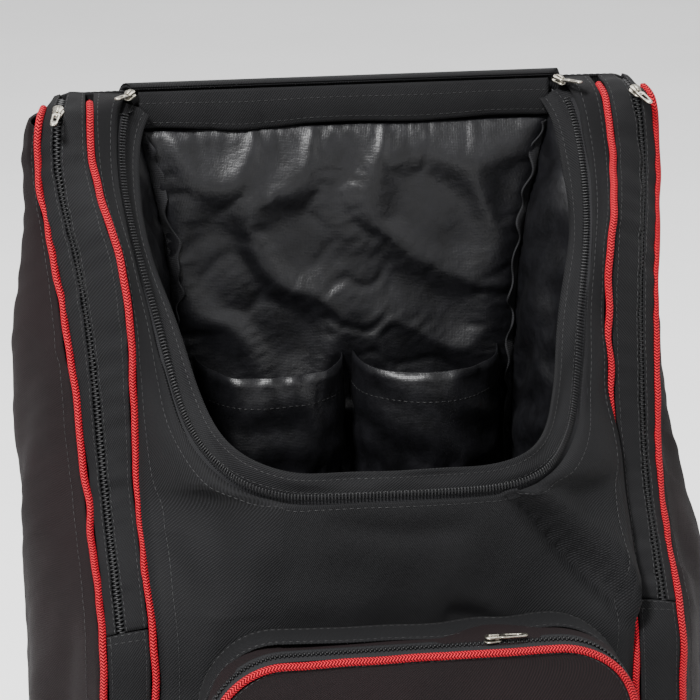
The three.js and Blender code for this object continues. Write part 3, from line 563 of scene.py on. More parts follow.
def plated_metal(name):
    n = Nodes(name)
    worn = n.noise(n.where, 3 * MM, 5, 0.7)
    scratches = n.noise(n.turned(n.where, 0.6, (1, 9, 1)), 1.2 * MM, 3, 0.6)
    color = n.ramp(worn, (0.3, (0.2, 0.18, 0.145)), (0.62, (0.42, 0.4, 0.345)))
    normal = n.bump(scratches, 0.05 * MM, 0.5)
    return n.finish(Base_Color=color, Roughness=n.between(worn, 0.2, 0.42), Normal=normal, Metallic=1.0)


TWILL = twill("charcoal_twill", (0.0007, 0.0007, 0.0008), (0.0052, 0.0052, 0.0058), (0.009, 0.009, 0.0094))
WARM_TWILL = twill("warm_twill", (0.001, 0.0006, 0.0007), (0.0064, 0.0038, 0.0042), (0.007, 0.0012, 0.0016))
NYLON = nylon("glossy_lining")
BRAID = braid("red_braid")
TAPE = tape_cloth("woven_tape")
COIL = coil_plastic("zip_coil")
THREAD = thread_material("sewing_thread")
METAL = plated_metal("plated_metal")


def dress(node, slot, grid, material, turn=1, thickness=CLOTH, keep=None):
    """A cloth panel in place of the frame's node of that name."""
    return show(panel(node, grid, material, turn, thickness, keep), slot, node)


def at_zip(span):
    return np.full_like(span, ZIP_SHARE)


def coil(name, frames, lift, reach):
    """A closed coil zip: two rows of teeth that reach past its middle in turn."""
    bits = Bits()
    for first, sign in ((0, -1), (1, 1)):
        row = [a[first::2] for a in frames]
        teeth(bits, row, sign * COIL_WIDTH / 2, -sign * reach * COIL_WIDTH, lift, COIL_PITCH)
    show(bits.make(name, COIL), "zip_black")


# The front panel, with the opening cut into its upper part

def spline_section(points, u):
    """A smooth curve through four points that never overshoots; u runs 0 to 3 along it."""
    p = [2 * points[0] - points[1], *points, 2 * points[3] - points[2]]
    k = np.clip(np.floor(u).astype(int), 0, 2)
    t = (u - k)[..., None]
    rows = np.arange(len(u)) if u.ndim == 1 else None
    stack = np.stack(p)
    take = lambda s: stack[k + s, rows]
    p0, p1, p2, p3 = (take(s) for s in range(4))
    chords = ((p0, p1), (p1, p2), (p2, p3))
    d0, d1, d2 = (np.linalg.norm(b - a, axis=-1, keepdims=True) ** 0.5 for a, b in chords)
    m1 = ((p1 - p0) / d0 - (p2 - p0) / (d0 + d1) + (p2 - p1) / d1) * d1
    m2 = ((p2 - p1) / d1 - (p3 - p1) / (d1 + d2) + (p3 - p2) / d2) * d1
    return ((2 * t**3 - 3 * t**2 + 1) * p1 + (t**3 - 2 * t**2 + t) * m1
            + (3 * t**2 - 2 * t**3) * p2 + (t**3 - t**2) * m2)


def front_surface(rows, shares):
    grid = np.zeros((len(rows), len(shares), 3))
    left, right = seam("inner", rows, -1), seam("inner", rows, 1)
    mouth_left, mouth_right = seam("mouth", rows, -1), seam("mouth", rows, 1)
    edge = left + unit(mouth_left - left) * SEAM_MARGIN
    far = right + unit(mouth_right - right) * SEAM_MARGIN
    for j, u in enumerate(shares):
        grid[:, j] = spline_section([edge, mouth_left, mouth_right, far], np.full(len(rows), float(u)))
    return grid


# The soft folds of the front, as paths of (x, z) points seen from the front
LONG_CREASE = [(0.074, 0.656), (0.098, 0.632), (0.126, 0.598), (0.15, 0.566), (0.158, 0.55)]
SMALL_CREASE = [(0.03, 0.574), (0.055, 0.566), (0.075, 0.552)]
LEFT_VALLEY = [(-0.128, 0.66), (-0.118, 0.62), (-0.122, 0.575)]
LEFT_VALLEY_2 = [(-0.15, 0.62), (-0.14, 0.585), (-0.145, 0.52)]
HEM_FOLD = [(-0.05, 0.64), (0.0, 0.632), (0.05, 0.634)]


FRONT_FOLDS = (  # path, depth, width, share of the depth that swells up beside it
    (LONG_CREASE, 8 * MM, 7 * MM, 1.1),
    (LONG_CREASE, 6.5 * MM, 4.4 * MM, 0.9),
    (SMALL_CREASE, 3 * MM, 7 * MM, 0.5),
    (LEFT_VALLEY, 5 * MM, 11 * MM, 0.4),
    (LEFT_VALLEY_2, 4 * MM, 9 * MM, 0.4),
    (HEM_FOLD, 2.5 * MM, 9 * MM, 0.3),
)


def press_front(grid):
    """Folds and sag of the front panel, and the fat fold that hangs over the right inner piping."""
    x, z = grid[..., 0], grid[..., 2]
    below_mouth = smooth((0.70 - z) / 0.05)
    inwards = sum(depth * crease_field(x, z, path, width, lift) for path, depth, width, lift in FRONT_FOLDS)
    inwards += below_mouth * 2.2 * MM * ripple(x, z, 3, 130 * MM)
    inwards += 0.7 * MM * ripple(x, z, 4, 42 * MM)
    fat = np.exp(-(((x - 0.150) / 0.022) ** 2)) * np.exp(-(((z - 0.6) / 0.07) ** 4))
    return grid - normals_of(grid, 1) * (inwards - 13 * MM * fat)[..., None]


front_rows = np.concatenate([np.linspace(0, 3, 60, endpoint=False), np.linspace(3, 6, 110, endpoint=False),
                             np.linspace(6, TOP_ROW, 170)])
MOUTH_INDEX = int(np.argmin(abs(front_rows - MOUTH_ROW)))
rim = np.linspace(0, 1, 13)
front_shares = np.concatenate([rim, np.linspace(1, 2, 84)[1:-1], 3 - rim[::-1]])
LEFT_EDGE, RIGHT_EDGE = len(rim) - 1, len(front_shares) - len(rim)
front_grid = press_front(front_surface(front_rows, front_shares))
front_grid[-1, :, 1] = BACK_INNER
opening_rows = list(range(len(front_rows) - 1, MOUTH_INDEX, -1))
opening_columns = list(range(LEFT_EDGE, RIGHT_EDGE + 1))
edge_i = np.array(opening_rows + [MOUTH_INDEX] * len(opening_columns) + opening_rows[::-1])
edge_j = np.array([LEFT_EDGE] * len(opening_rows) + opening_columns + [RIGHT_EDGE] * len(opening_rows))
eased = front_grid[edge_i, edge_j]
for _ in range(160):
    eased[1:-1] += 0.5 * ((eased[:-2] + eased[2:]) / 2 - eased[1:-1])
front_grid[edge_i, edge_j] = eased
front_keep = np.ones((len(front_rows) - 1, len(front_shares) - 1), bool)
front_keep[MOUTH_INDEX:, LEFT_EDGE:RIGHT_EDGE] = False
front = dress("front_panel", "outer_cloth", front_grid, TWILL, 1, CLOTH, front_keep)

# The edge of the opening, from the left hinge down, across and up to the right hinge
front_normals = normals_of(front_grid, 1)
on_cloth_i = np.where(edge_i == MOUTH_INDEX, edge_i - 2, edge_i)
on_cloth_j = np.where(edge_i == MOUTH_INDEX, edge_j, np.where(edge_j == LEFT_EDGE, edge_j - 2, edge_j + 2))
edge_path, edge_normals = resample(eased, 1.7 * MM, (front_normals[on_cloth_i, on_cloth_j],))


def blur(a, half):
    kernel = np.hanning(2 * half + 1) / np.hanning(2 * half + 1).sum()
    return np.stack([np.convolve(np.pad(a[:, k], half, "edge"), kernel, "valid") for k in range(3)], -1)


edge_frames = frames_along(blur(edge_path, 7), blur(edge_normals, 28))
# How many steps of the edge the zip and the storm strip stay clear of the hinge
HINGE_TRIM = 14
FACING_TRIM = 4


def strip_grid(frames, profile, wave=0.0, seed=0, ease=0):
    """A strip that follows frames; the profile's rows are (across, lift).

    ease rounds its far side in corners."""
    p, t, x, n = frames
    s = lengths_of(p)
    lines = []
    for across, lift in profile:
        flutter = wave * ripple(s, np.full_like(s, across * 4), seed, 55 * MM)
        line = p + x * across + n * (lift + flutter * abs(across) / FACING_REACH)[:, None]
        for _ in range(int(ease * max(across, 0) / FACING_REACH)):
            line[1:-1] += 0.5 * ((line[:-2] + line[2:]) / 2 - line[1:-1])
        lines.append(line)
    return np.stack(lines, 1)


open_frames = [a[HINGE_TRIM:-HINGE_TRIM] for a in edge_frames]
tooth_frames = frames_along(*resample(open_frames[0], 2.3 * MM, (open_frames[3],)))
tape_profile = [(a, -CLOTH - 0.8 * MM) for a in np.linspace(-6 * MM, ZIP_REACH - 3 * MM, 6)]
zip_tape = panel("main_zip_tape", strip_grid(open_frames, tape_profile), TAPE, -1, 0.6 * MM)
show(zip_tape, "zip_black", "main_zip_bag")
bits = Bits()
teeth(bits, tooth_frames, ZIP_REACH - 4.6 * MM, ZIP_REACH, -CLOTH + 1.1 * MM)
show(bits.make("main_zip_teeth", COIL), "zip_black")

facing_profile = [(a, -CLOTH - 2.4 * MM - 3 * MM * smooth(a / FACING_REACH)) for a in
                  np.linspace(-5 * MM, FACING_REACH, 12)]
facing_frames = [a[FACING_TRIM:-FACING_TRIM] for a in edge_frames]
facing_grid = strip_grid(facing_frames, facing_profile, 1.6 * MM, 7, 110)
facing = dress("opening_facing", "outer_cloth", facing_grid, TWILL, -1, 1.2 * MM)


# The side pockets

def gusset_normal(row, side):
    above, below = seam("inner", row + 0.25, side), seam("inner", np.maximum(row - 0.25, 0), side)
    across = seam("inner", row, side) - seam("outer", row, side)
    return unit(np.cross(above - below, across) * side)


def rim_normal(row, side):
    above, below = seam("inner", row + 0.25, side), seam("inner", np.maximum(row - 0.25, 0), side)
    return unit(np.cross(above - below, seam("mouth", row, side) - seam("inner", row, side)) * side)


def gusset_surface(rows, side, low, high, count):
    """low and high are functions of the gusset's width that give shares of it from the outer seam."""
    rows = np.minimum(rows, TOP_ROW - 0.001)
    outer, inner = seam("outer", rows, side), seam("inner", rows, side)
    span = np.linalg.norm(inner - outer, axis=-1)
    shares = np.linspace(low(span), high(span), count, axis=1)[..., None]
    normal = gusset_normal(rows, side)[:, None]
    swell = 3 * MM * 4 * shares * (1 - shares)
    grid = lerp(outer[:, None], inner[:, None], shares) + normal * swell
    grid[..., 1] = np.minimum(grid[..., 1], BACK_INNER)
    return grid


def pucker(grid, turn, size, seed, spacing=24 * MM):
    s = grid[..., 2] + grid[..., 1]
    return grid + normals_of(grid, turn) * (size * ripple(s, grid[..., 0] * 0.5, seed, spacing))[..., None]


def side_curve(rows, side, shares):
    first, last = seam("outer", rows, side), rear_corner(rows, side)
    belly = (first + last) / 2
    belly[:, 0] = side * HALF_WIDTH * column("sideLeft" if side < 0 else "sideRight", rows)
    control = 2 * belly - (first + last) / 2
    t = np.asarray(shares)[None, :, None]
    a, b, c = first[:, None], control[:, None], last[:, None]
    return (1 - t) ** 2 * a + 2 * t * (1 - t) * b + t**2 * c


SIDE_COLUMNS = 58


def build_side(name, side):
    turn = -side
    slit = COIL_WIDTH / 2 + 0.2 * MM
    at_outer = lambda span: SEAM_MARGIN / span
    at_inner = lambda span: 1 - SEAM_MARGIN / span
    before = lambda span: ZIP_SHARE - slit / span
    after = lambda span: ZIP_SHARE + slit / span
    zip_rows = np.linspace(ZIP_FOOT_ROW, TOP_ROW, 220)
    thread = Bits()

    outer_strip = pucker(gusset_surface(zip_rows, side, at_outer, before, 9), turn, 0.5 * MM, 11)
    inner_strip = pucker(gusset_surface(zip_rows, side, after, at_inner, 14), turn, 0.7 * MM, 12)
    lower_rows = np.linspace(0, ZIP_FOOT_ROW - 0.02, 170)
    lower = pucker(gusset_surface(lower_rows, side, at_outer, at_inner, 22), turn, 0.9 * MM, 13, 60 * MM)
    for node, strip in (("gusset_outer_", outer_strip), ("gusset_inner_", inner_strip),
                        ("gusset_lower_", lower)):
        dress(node + name, "outer_cloth", strip, TWILL, turn)
    sew(thread, outer_strip, turn, [-2])
    sew(thread, inner_strip, turn, [1, -3])
    sew(thread, lower, turn, [2, -3], [-2, -6])

    # The closed zip between the strips
    tape_rows = np.linspace(ZIP_FOOT_ROW, TOP_ROW - 0.4, 200)
    span_low = lambda span: np.maximum(ZIP_SHARE - TAPE_WIDTH / 2 / span, 2 * at_outer(span))
    span_high = lambda span: np.minimum(ZIP_SHARE + TAPE_WIDTH / 2 / span, 2 * at_inner(span) - 1)
    tape = gusset_surface(tape_rows, side, span_low, span_high, 8)
    tape = tape - normals_of(tape, turn) * (CLOTH + 0.9 * MM)
    show(panel("side_zip_tape_" + name, tape, TAPE, turn, 0.6 * MM), "zip_black", "side_zip_" + name)
    line = gusset_surface(tape_rows, side, at_zip, at_zip, 1)[:, 0]
    frames = frames_along(*resample(line, 1.5 * MM, (gusset_normal(tape_rows, side),)))
    coil("side_zip_coil_" + name, frames, -CLOTH + 0.9 * MM, 0.175)

    # The side panel, soft and full, with slow upright folds
    rows = np.concatenate([np.linspace(0, 4, 70, endpoint=False), np.linspace(4, SIDE_TOP_ROW + 0.3, 110)])
    shares = np.linspace(0, 1, SIDE_COLUMNS)
    body = side_curve(rows, side, shares)
    first = seam("outer", rows, side)
    far = np.linalg.norm(body - first[:, None], axis=-1)
    start = np.argmax(far > SEAM_MARGIN, axis=1)
    last = SIDE_COLUMNS - 1
    for i, k in enumerate(start):
        places = np.linspace(k, last, last + 1)
        body[i] = np.stack([np.interp(places, np.arange(last + 1), body[i, :, c]) for c in range(3)], -1)
    y, z = body[..., 1], body[..., 2]
    inside = smooth(shares * 6)[None] * smooth((1 - shares) * 6)[None]
    folds = 3 * MM * ripple(y * 1.6, z * 0.45, 20 + side, 110 * MM)
    folds += 0.6 * MM * ripple(y, z * 0.6, 22 + side, 38 * MM)
    body = body + normals_of(body, side) * (folds * inside)[..., None]
    body = pucker(body, side, 0.35 * MM, 25)
    side_piece = dress("side_panel_" + name, "outer_cloth", body, WARM_TWILL, side)
    sew(thread, body, side, [3])
    sew(thread, front_grid, 1, [2 if side < 0 else -3])
    show(thread.make("stitching_" + name, THREAD), "outer_cloth")

    # Piping, pushed a little out of true by the cloth
    for seam_name, first_seed in (("outer", 31), ("inner", 33)):
        piping_rows = np.linspace(0.02, TOP_ROW - 0.5, 320)
        line = seam(seam_name, piping_rows, side)
        line[:, 2] = np.maximum(line[:, 2], FOOTING)
        s = line[:, 2] + line[:, 1]
        seed = first_seed + side
        wobble = point(0.55 * MM * ripple(s, s * 0, seed, 45 * MM),
                       0.5 * MM * ripple(s, s * 0, seed + 5, 60 * MM), 0)
        node = "piping_%s_%s" % (seam_name, name)
        show(tube(node, resample(line + wobble, 2.6 * MM)[0], PIPING_RADIUS, BRAID), "red_piping", node)


for side_name, side_sign in (("left", -1), ("right", 1)):
    build_side(side_name, side_sign)


# The back panel and the base

def rear_half_width(z):
    rows = np.linspace(0, TOP_ROW, 400)
    heights = FOOTING + (HEIGHT - FOOTING) * column("rearZ", rows)
    return HALF_WIDTH * np.interp(z, heights, column("rearX", rows))


CORNER_RADIUS = 17 * MM
back_z = np.concatenate([np.linspace(FOOTING, HEIGHT - CORNER_RADIUS, 90, endpoint=False),
                         HEIGHT - CORNER_RADIUS * (1 - np.sin(np.linspace(0, math.pi / 2, 24)))])
back_x = np.linspace(-1, 1, 60)
above = np.maximum(back_z - (HEIGHT - CORNER_RADIUS), 0)
half = rear_half_width(back_z) + 1 * MM - CORNER_RADIUS + np.sqrt(np.maximum(CORNER_RADIUS**2 - above**2, 0))
back_grid = point(back_x[None] * half[:, None], BACK_PLANE, back_z[:, None])
soft = (1 - back_x**8)[None] * (1 - (2 * np.linspace(0, 1, len(back_z)) - 1) ** 12)[:, None]
back_grid[..., 1] += soft * (3.2 * MM + 1.4 * MM * ripple(back_grid[..., 0], back_grid[..., 2], 40, 120 * MM))
back = dress("back_panel", "outer_cloth", back_grid, TWILL, -1)
back_thread = Bits()
sew(back_thread, back_grid, -1, [3, -4], [3, -4])
show(back_thread.make("stitching_back", THREAD), "outer_cloth")

base_front = front_surface(np.array([0.0]), np.linspace(0, 3, 40))[0]
base_right = side_curve(np.array([0.0]), 1, np.linspace(0, 1, 24))[0]
base_left = side_curve(np.array([0.0]), -1, np.linspace(0, 1, 24))[0]
back_edge = point(np.linspace(base_right[-1, 0], base_left[-1, 0], 30), BACK_PLANE, 0)
outline = np.concatenate([base_front, base_right, back_edge, base_left[::-1]])[:, :2]
rings = []
under_panels = FOOTING - 0.3 * MM
for share, z in ((0.0, 0), (0.4, 0), (0.8, 0), (0.97, 0), (0.992, 0.2 * MM), (1.0, 1.2 * MM),
                 (0.998, FOOTING - 0.6 * MM), (0.985, under_panels), (0.8, under_panels),
                 (0.01, under_panels)):
    rings.append(np.concatenate([outline * share, np.full((len(outline), 1), z)], -1))
rings = np.array(rings)
rings = np.concatenate([rings, rings[:, :1]], 1)
dress("base_panel", "outer_cloth", rings, TWILL, 1, 0)


# The lining, crumpled where it hangs loose

def core_corner(row, side):
    return rear_corner(row, side, "coreX", LINING_FRONT - 0.3 * MM)


lining_rows = np.concatenate([np.linspace(0, 4, 36, endpoint=False), np.linspace(4, 12.35, 100)])
corner = core_corner(lining_rows, 1)
lining_x = np.linspace(-1, 1, 100)
lining_grid = point(lining_x[None] * (corner[:, 0] + 4 * MM)[:, None], LINING_FRONT, corner[:, 2][:, None])
lx, lz = lining_grid[..., 0], lining_grid[..., 2]
loose = smooth(6 * (1 - abs(lining_x)))[None] * smooth((HEIGHT - 0.03 - lz) / 0.03) * smooth(lz / 0.05)
ridges = 1 - abs(ripple(lx, lz * 0.8, 51, 95 * MM, 9))
start = lining_grid.copy()
start[..., 1] -= loose * (9 * MM * np.clip(ridges, 0, 1) + 1.2 * MM * abs(ripple(lx, lz, 52, 55 * MM)))
pins = pins_at(lx.shape, [0, -1], [0, 1, -2, -1])
no_further = lambda c: np.concatenate([c[..., :1], np.minimum(c[..., 1:2], LINING_FRONT), c[..., 2:]], -1)
start[pins] = lining_grid[pins]


SETTLE_STEPS = 220
LINING_SLACK = 0.03
SLEEVE_SLACK = 0.025
SIDE_LINING_COLUMNS = 52
SLEEVE_SQUARE = 0.8
lining_flat = lining_grid
lining_grid = settle(lining_flat, start, LINING_SLACK, pins, SETTLE_STEPS, no_further,
                     (0, -0.02 * MM, 0), 0.2)
lining_back = dress("lining_back", "lining", lining_grid, NYLON, 1, LINING)


def build_lining(name, side):
    rows = np.concatenate([np.linspace(0, 4, 30, endpoint=False), np.linspace(4, TOP_ROW - 0.9, 92)])
    rear = core_corner(rows, side)
    outwards = unit(gusset_normal(rows, side) + rim_normal(rows, side))
    first = seam("inner", rows, side) - outwards * (15 * MM + 9 * MM * smooth((rows - 10) / 2.5))[:, None]
    shares = np.linspace(0, 1, SIDE_LINING_COLUMNS)[None, :, None]
    flat = lerp(first[:, None], rear[:, None], shares)
    inside = normals_of(flat, 1)
    inside *= -np.sign(side * inside[..., 0].mean())
    y, z = flat[..., 1], flat[..., 2]
    loose = (smooth(np.linspace(-1.1, 4.4, SIDE_LINING_COLUMNS))
             * smooth(np.linspace(5, 0, SIDE_LINING_COLUMNS)))
    bulge = (5 * MM * (1 + ripple(y, z * 0.7, 60 + side, 80 * MM, 9))
             + 3 * MM * ripple(y, z, 62 + side, 34 * MM))
    begin = flat + inside * (loose * bulge)[..., None]
    pinned = pins_at(y.shape, [0, -1], [0, -1])

    def stay_inside(c):
        lift = ((c - flat) * inside).sum(-1, keepdims=True)
        return c + inside * (np.clip(lift, 0, (0.5 + 14 * loose[:, None]) * MM) - lift)

    grid = settle(flat, begin, LINING_SLACK, pinned, SETTLE_STEPS, stay_inside)
    lining_side = dress("lining_" + name, "lining", grid, NYLON, -side, LINING)

    # The taped corner seam with its loose edge
    fin_rows = np.linspace(0.15, 12.2, 420)
    corner = core_corner(fin_rows, side)
    s = corner[:, 2]
    inwards = unit(np.array([-side, -1.0, 0]))
    thin = unit(np.array([-side, 1.0, 0]))
    lines = []
    for reach in np.linspace(0, 9 * MM, 8):
        ragged = reach * 0.28 * ripple(s, s * 0, 70 + side, 16 * MM)
        curl = reach * 0.35 * ripple(s, s * 0 + reach, 72 + side, 28 * MM)
        lines.append(corner + inwards * (1.2 * MM + reach + ragged)[:, None] + thin * curl[:, None])
    dress("seam_binding_" + name, "outer_cloth", np.stack(lines, 1), TAPE, side, 1.2 * MM)

    # The bat sleeve: a pocket of lining sewn to the back and to the corner seam
    heights = np.linspace(0, 1, 96)
    u = np.linspace(0, 1, 68)
    inner_x = 3 * MM
    x = SLEEVE_OUTER + (inner_x - SLEEVE_OUTER) * (0.5 - 0.5 * np.cos(math.pi * u))
    depth = LINING_FRONT - 1 * MM - SLEEVE_FRONT
    y = LINING_FRONT - 1 * MM - depth * np.sin(math.pi * u) ** SLEEVE_SQUARE
    z = FOOTING + heights * (SLEEVE_TOP - FOOTING)
    flat = point(side * x[None], y[None], z[:, None])
    sag = 1.5 * MM * np.sin(math.pi * u)[None] * smooth((heights - 0.6) / 0.4)[:, None]
    begin = flat.copy()
    begin[..., 2] -= sag
    wave = ripple(flat[..., 0], flat[..., 2] * 0.6, 80 + side, 70 * MM, 9)
    fine = ripple(flat[..., 0], flat[..., 2], 82 + side, 30 * MM, 9)
    loose = np.sin(math.pi * u)[None] * smooth(heights * 8)[:, None]
    begin += normals_of(flat, -side) * (loose * (6 * MM * wave + 2 * MM * fine))[..., None]
    pinned = pins_at(flat.shape[:2], [0], [0, -1])
    grid = settle(flat, begin, SLEEVE_SLACK, pinned, SETTLE_STEPS, None, (0, 0, -0.01 * MM))
    hem = 3
    grid[-hem:] -= normals_of(grid, -side)[-hem:] * 0.5 * MM
    sleeve = dress("bat_sleeve_" + name, "lining", grid, NYLON, -side, 1.0 * MM)
    sewn = Bits()
    sew(sewn, grid, -side, [], [-4])
    show(sewn.make("stitching_sleeve_" + name, THREAD), "lining")


for side_name, side_sign in (("left", -1), ("right", 1)):
    build_lining(side_name, side_sign)

# The band across the top of the back
band_x = np.linspace(BAND_LOW.x, BAND_HIGH.x, 160)
band_t = np.linspace(0, 1, 14)
band_grid = point(band_x[None], BAND_LOW.y, lerp(BAND_LOW.z, BAND_HIGH.z, band_t)[:, None])
band_grid[..., 1] -= 1.6 * MM * np.sin(math.pi * band_t)[:, None]
band_grid[..., 1] -= (1 - band_t)[:, None] * 2.4 * MM * abs(ripple(band_x, band_x * 0, 90, 70 * MM))[None]
band_grid[..., 2] += (1 - band_t)[:, None] * 1.6 * MM * ripple(band_x, band_x * 0, 91, 80 * MM)[None]
dress("top_band", "outer_cloth", band_grid, TWILL, 1, 2.2 * MM)
band_thread = Bits()
sew(band_thread, band_grid, 1, [], [2, 9])
sew(band_thread, facing_grid, -1, [-3, 5])

# Stitches round the mouth: down a column, across a row, up a column, with a quarter turn between them
CORNER = 9
low_row, left_column, right_column = MOUTH_INDEX - 4, LEFT_EDGE - 2, RIGHT_EDGE + 2
quarter = np.linspace(0, math.pi / 2, 24)
down = np.arange(len(front_rows) - 1.0, low_row + CORNER, -1)
between = np.arange(left_column + CORNER + 1.0, right_column - CORNER)
corner_i, corner_j = CORNER * (1 - np.sin(quarter)), CORNER * (1 - np.cos(quarter))
stitch_i = np.concatenate([down, low_row + corner_i, low_row + 0 * between, low_row + corner_i[::-1],
                           down[::-1]])
stitch_j = np.concatenate([left_column + 0 * down, left_column + corner_j, between,
                           right_column - corner_j[::-1],
                           right_column + 0 * down])
stitches(band_thread, *(between_points(values, stitch_i, stitch_j) for values in (front_grid, front_normals)))
show(band_thread.make("stitching_mouth", THREAD), "outer_cloth")


# The flap, folded over the back panel's top edge and hanging behind it
flap_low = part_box("flap")[0]
FLAP_THICK = 3 * MM
FOLD_RADIUS = 7.5 * MM
fold_y, fold_z = BACK_PLANE + 1.5 * MM, HEIGHT - 4 * MM
FOLD_START = math.radians(130)
fold_length = FOLD_START * FOLD_RADIUS
flap_rows = np.linspace(TOP_ROW, MOUTH_ROW, 240)
mouth_side = seam("mouth", flap_rows, 1)
travel = lengths_of(mouth_side[:, 1:])
flap_length = fold_length + fold_z - flap_low.z
distance = np.linspace(0, flap_length, 110)
angle = FOLD_START - np.minimum(distance, fold_length) / FOLD_RADIUS
hang = np.clip((distance - fold_length) / (flap_length - fold_length), 0, 1)
spine_y = fold_y + FOLD_RADIUS * np.cos(angle) + 7 * MM * hang**2
spine_z = fold_z + FOLD_RADIUS * np.sin(angle) - np.maximum(distance - fold_length, 0)
flap_half = np.interp(distance / flap_length * travel[-1], travel, mouth_side[:, 0]) - 1.5 * MM
flap_x = np.linspace(-1, 1, 70)
flap_mid = point(flap_x[None] * flap_half[:, None], spine_y[:, None], spine_z[:, None])
flap_out = normals_of(flap_mid, -1)
rim_soft = smooth(8 * (1 - abs(flap_x)))[None] * (smooth((1 - hang) * 9) * smooth(hang * 7))[:, None]
outer_side = flap_mid + flap_out * FLAP_THICK / 2
flap_folds = ripple(flap_mid[..., 0], flap_mid[..., 2], 95, 75 * MM)
inner_lift = FLAP_THICK / 2 + rim_soft * np.maximum(2.2 * MM + 2 * MM * flap_folds, 0.4 * MM)
inner_side = flap_mid - flap_out * inner_lift[..., None]
flap = dress("flap", "outer_cloth", outer_side, TWILL, -1, 1.4 * MM)
LINING_FROM = int(np.argmax(distance > fold_length + 6 * MM))
flap_root = panel("flap_root", inner_side[:LINING_FROM + 1], TWILL, 1, 0.6 * MM)
show(flap_root, "outer_cloth")
flap_lining = panel("flap_lining", inner_side[LINING_FROM:], NYLON, 1, 0.6 * MM)
show(flap_lining, "lining")
FLAP_ZIP_START = 13
round_flap = lambda grid: np.concatenate(
    [grid[FLAP_ZIP_START:, 0], grid[-1, 1:-1], grid[:FLAP_ZIP_START - 1:-1, -1]])
edge, edge_out = resample(round_flap(flap_mid), 2.3 * MM, (round_flap(flap_out),))
p, t, x, n = frames_along(edge, edge_out)
flap_frames = [p, t, -x, n]
flap_tape = panel("main_zip_flap_tape",
                  strip_grid(flap_frames, [(a, 0) for a in np.linspace(-4 * MM, 4 * MM, 5)]),
                  TAPE, 1, 0.7 * MM)
show(flap_tape, "zip_black", "main_zip_flap")
flap_teeth = Bits()
teeth(flap_teeth, flap_frames, 2.4 * MM, ZIP_REACH, 0.2 * MM)
show(flap_teeth.make("main_zip_flap_teeth", COIL), "zip_black")
flap_binding = tube("flap_binding", resample(edge, 3 * MM)[0], 1.9 * MM, TAPE, 10, (0, 1, 0))
show(flap_binding, "outer_cloth")
flap_thread = Bits()
for k in (3, -4):
    stitches(flap_thread, inner_side[10:-3, k], -flap_out[10:-3, k])
stitches(flap_thread, inner_side[-4, 3:-3], -flap_out[-4, 3:-3])
show(flap_thread.make("stitching_flap", THREAD), "outer_cloth")


# The front pocket

POCKET_TOP_RADIUS = 52 * MM
POCKET_BOTTOM_RADIUS = 34 * MM


def pocket_outline(inset, spacing=2 * MM):
    """The pocket's outline from the middle of its bottom, clockwise as seen from the front."""
    low_x, high_x = POCKET_LOW.x + inset, POCKET_HIGH.x - inset
    low_z, high_z = POCKET_LOW.z + inset, POCKET_HIGH.z - inset
    small, large = POCKET_BOTTOM_RADIUS - inset, POCKET_TOP_RADIUS - inset
    middle = (low_x + high_x) / 2
    turns = lambda a, b: np.radians(np.linspace(a, b, 24))
    arc = lambda x, z, r, a, b: [(x + r * math.cos(q), z + r * math.sin(q)) for q in turns(a, b)]
    points = [(middle - 0.3 * MM, low_z)]
    points += arc(low_x + small, low_z + small, small, 270, 180)
    points += arc(low_x + large, high_z - large, large, 180, 90)
    points += arc(high_x - large, high_z - large, large, 90, 0)
    points += arc(high_x - small, low_z + small, small, 0, -90)
    points += [(middle + 0.3 * MM, low_z)]
    return resample(np.array([(x, 0, z) for x, z in points]), spacing)[0]


front_points = front_grid[:MOUTH_INDEX + 1].reshape(-1, 3)


def front_y(x, z):
    """Where the front panel stands in y at places seen from the front."""
    result = np.zeros(len(x))
    for k, (px, pz) in enumerate(zip(x, z)):
        gap = (front_points[:, 0] - px) ** 2 + (front_points[:, 2] - pz) ** 2
        near = np.argpartition(gap, 4)[:4]
        weight = 1 / (gap[near] + 1e-9)
        result[k] = (front_points[near, 1] * weight).sum() / weight.sum()
    return result


line = pocket_outline(0)
out_x, out_z = np.gradient(line[:, 2]), -np.gradient(line[:, 0])
outwards = unit(point(-out_x, 0, -out_z))
pocket_rear = front_y(line[:, 0], line[:, 2]) - 0.6 * MM
pocket_front = POCKET_FACE + PIPING_RADIUS + 0.2 * MM
t = np.linspace(0, 1, 13)
gusset = point(line[:, 0][:, None], lerp(pocket_rear[:, None], pocket_front, t[None]), line[:, 2][:, None])
s = np.arange(len(line)) * 2 * MM
slump = 2.4 * MM * np.sin(math.pi * t)[None] * (0.3 + ripple(s, s * 0, 100, 90 * MM))[:, None]
gusset += outwards[:, None] * slump[..., None] * 0.8
dress("pocket_gusset", "pocket_cloth", gusset, WARM_TWILL)

piping_line = line + point(0, POCKET_FACE, 0)
piping_line = piping_line + outwards * (0.5 * MM * ripple(s, s * 0, 101, 60 * MM))[:, None]
pocket_piping = tube("pocket_piping", piping_line, PIPING_RADIUS, BRAID)
show(pocket_piping, "red_piping", "pocket_piping")

# The face: rows of points between the outline's left and right halves
face_line = pocket_outline(SEAM_MARGIN, 1.2 * MM)
half_count = len(face_line) // 2
left_half = face_line[:half_count]
right_half = face_line[::-1][:half_count]
left_half, right_half = resample(left_half, 4.4 * MM)[0], resample(right_half, 4.4 * MM)[0]
count = min(len(left_half), len(right_half))
u = (0.5 - 0.5 * np.cos(np.linspace(0, math.pi, 66)))[None, :, None]
face = lerp(left_half[:count, None], right_half[:count, None], u)
fx, fz = face[..., 0], face[..., 2]
cx = (POCKET_LOW.x + POCKET_HIGH.x) / 2
nx = np.clip(abs(fx - cx) / ((POCKET_HIGH.x - POCKET_LOW.x) / 2), 0, 1)
nz = np.clip(abs(fz - (POCKET_LOW.z + POCKET_HIGH.z) / 2) / ((POCKET_HIGH.z - POCKET_LOW.z) / 2), 0, 1)
plump = (1 - nx**4) * (1 - nz**6)
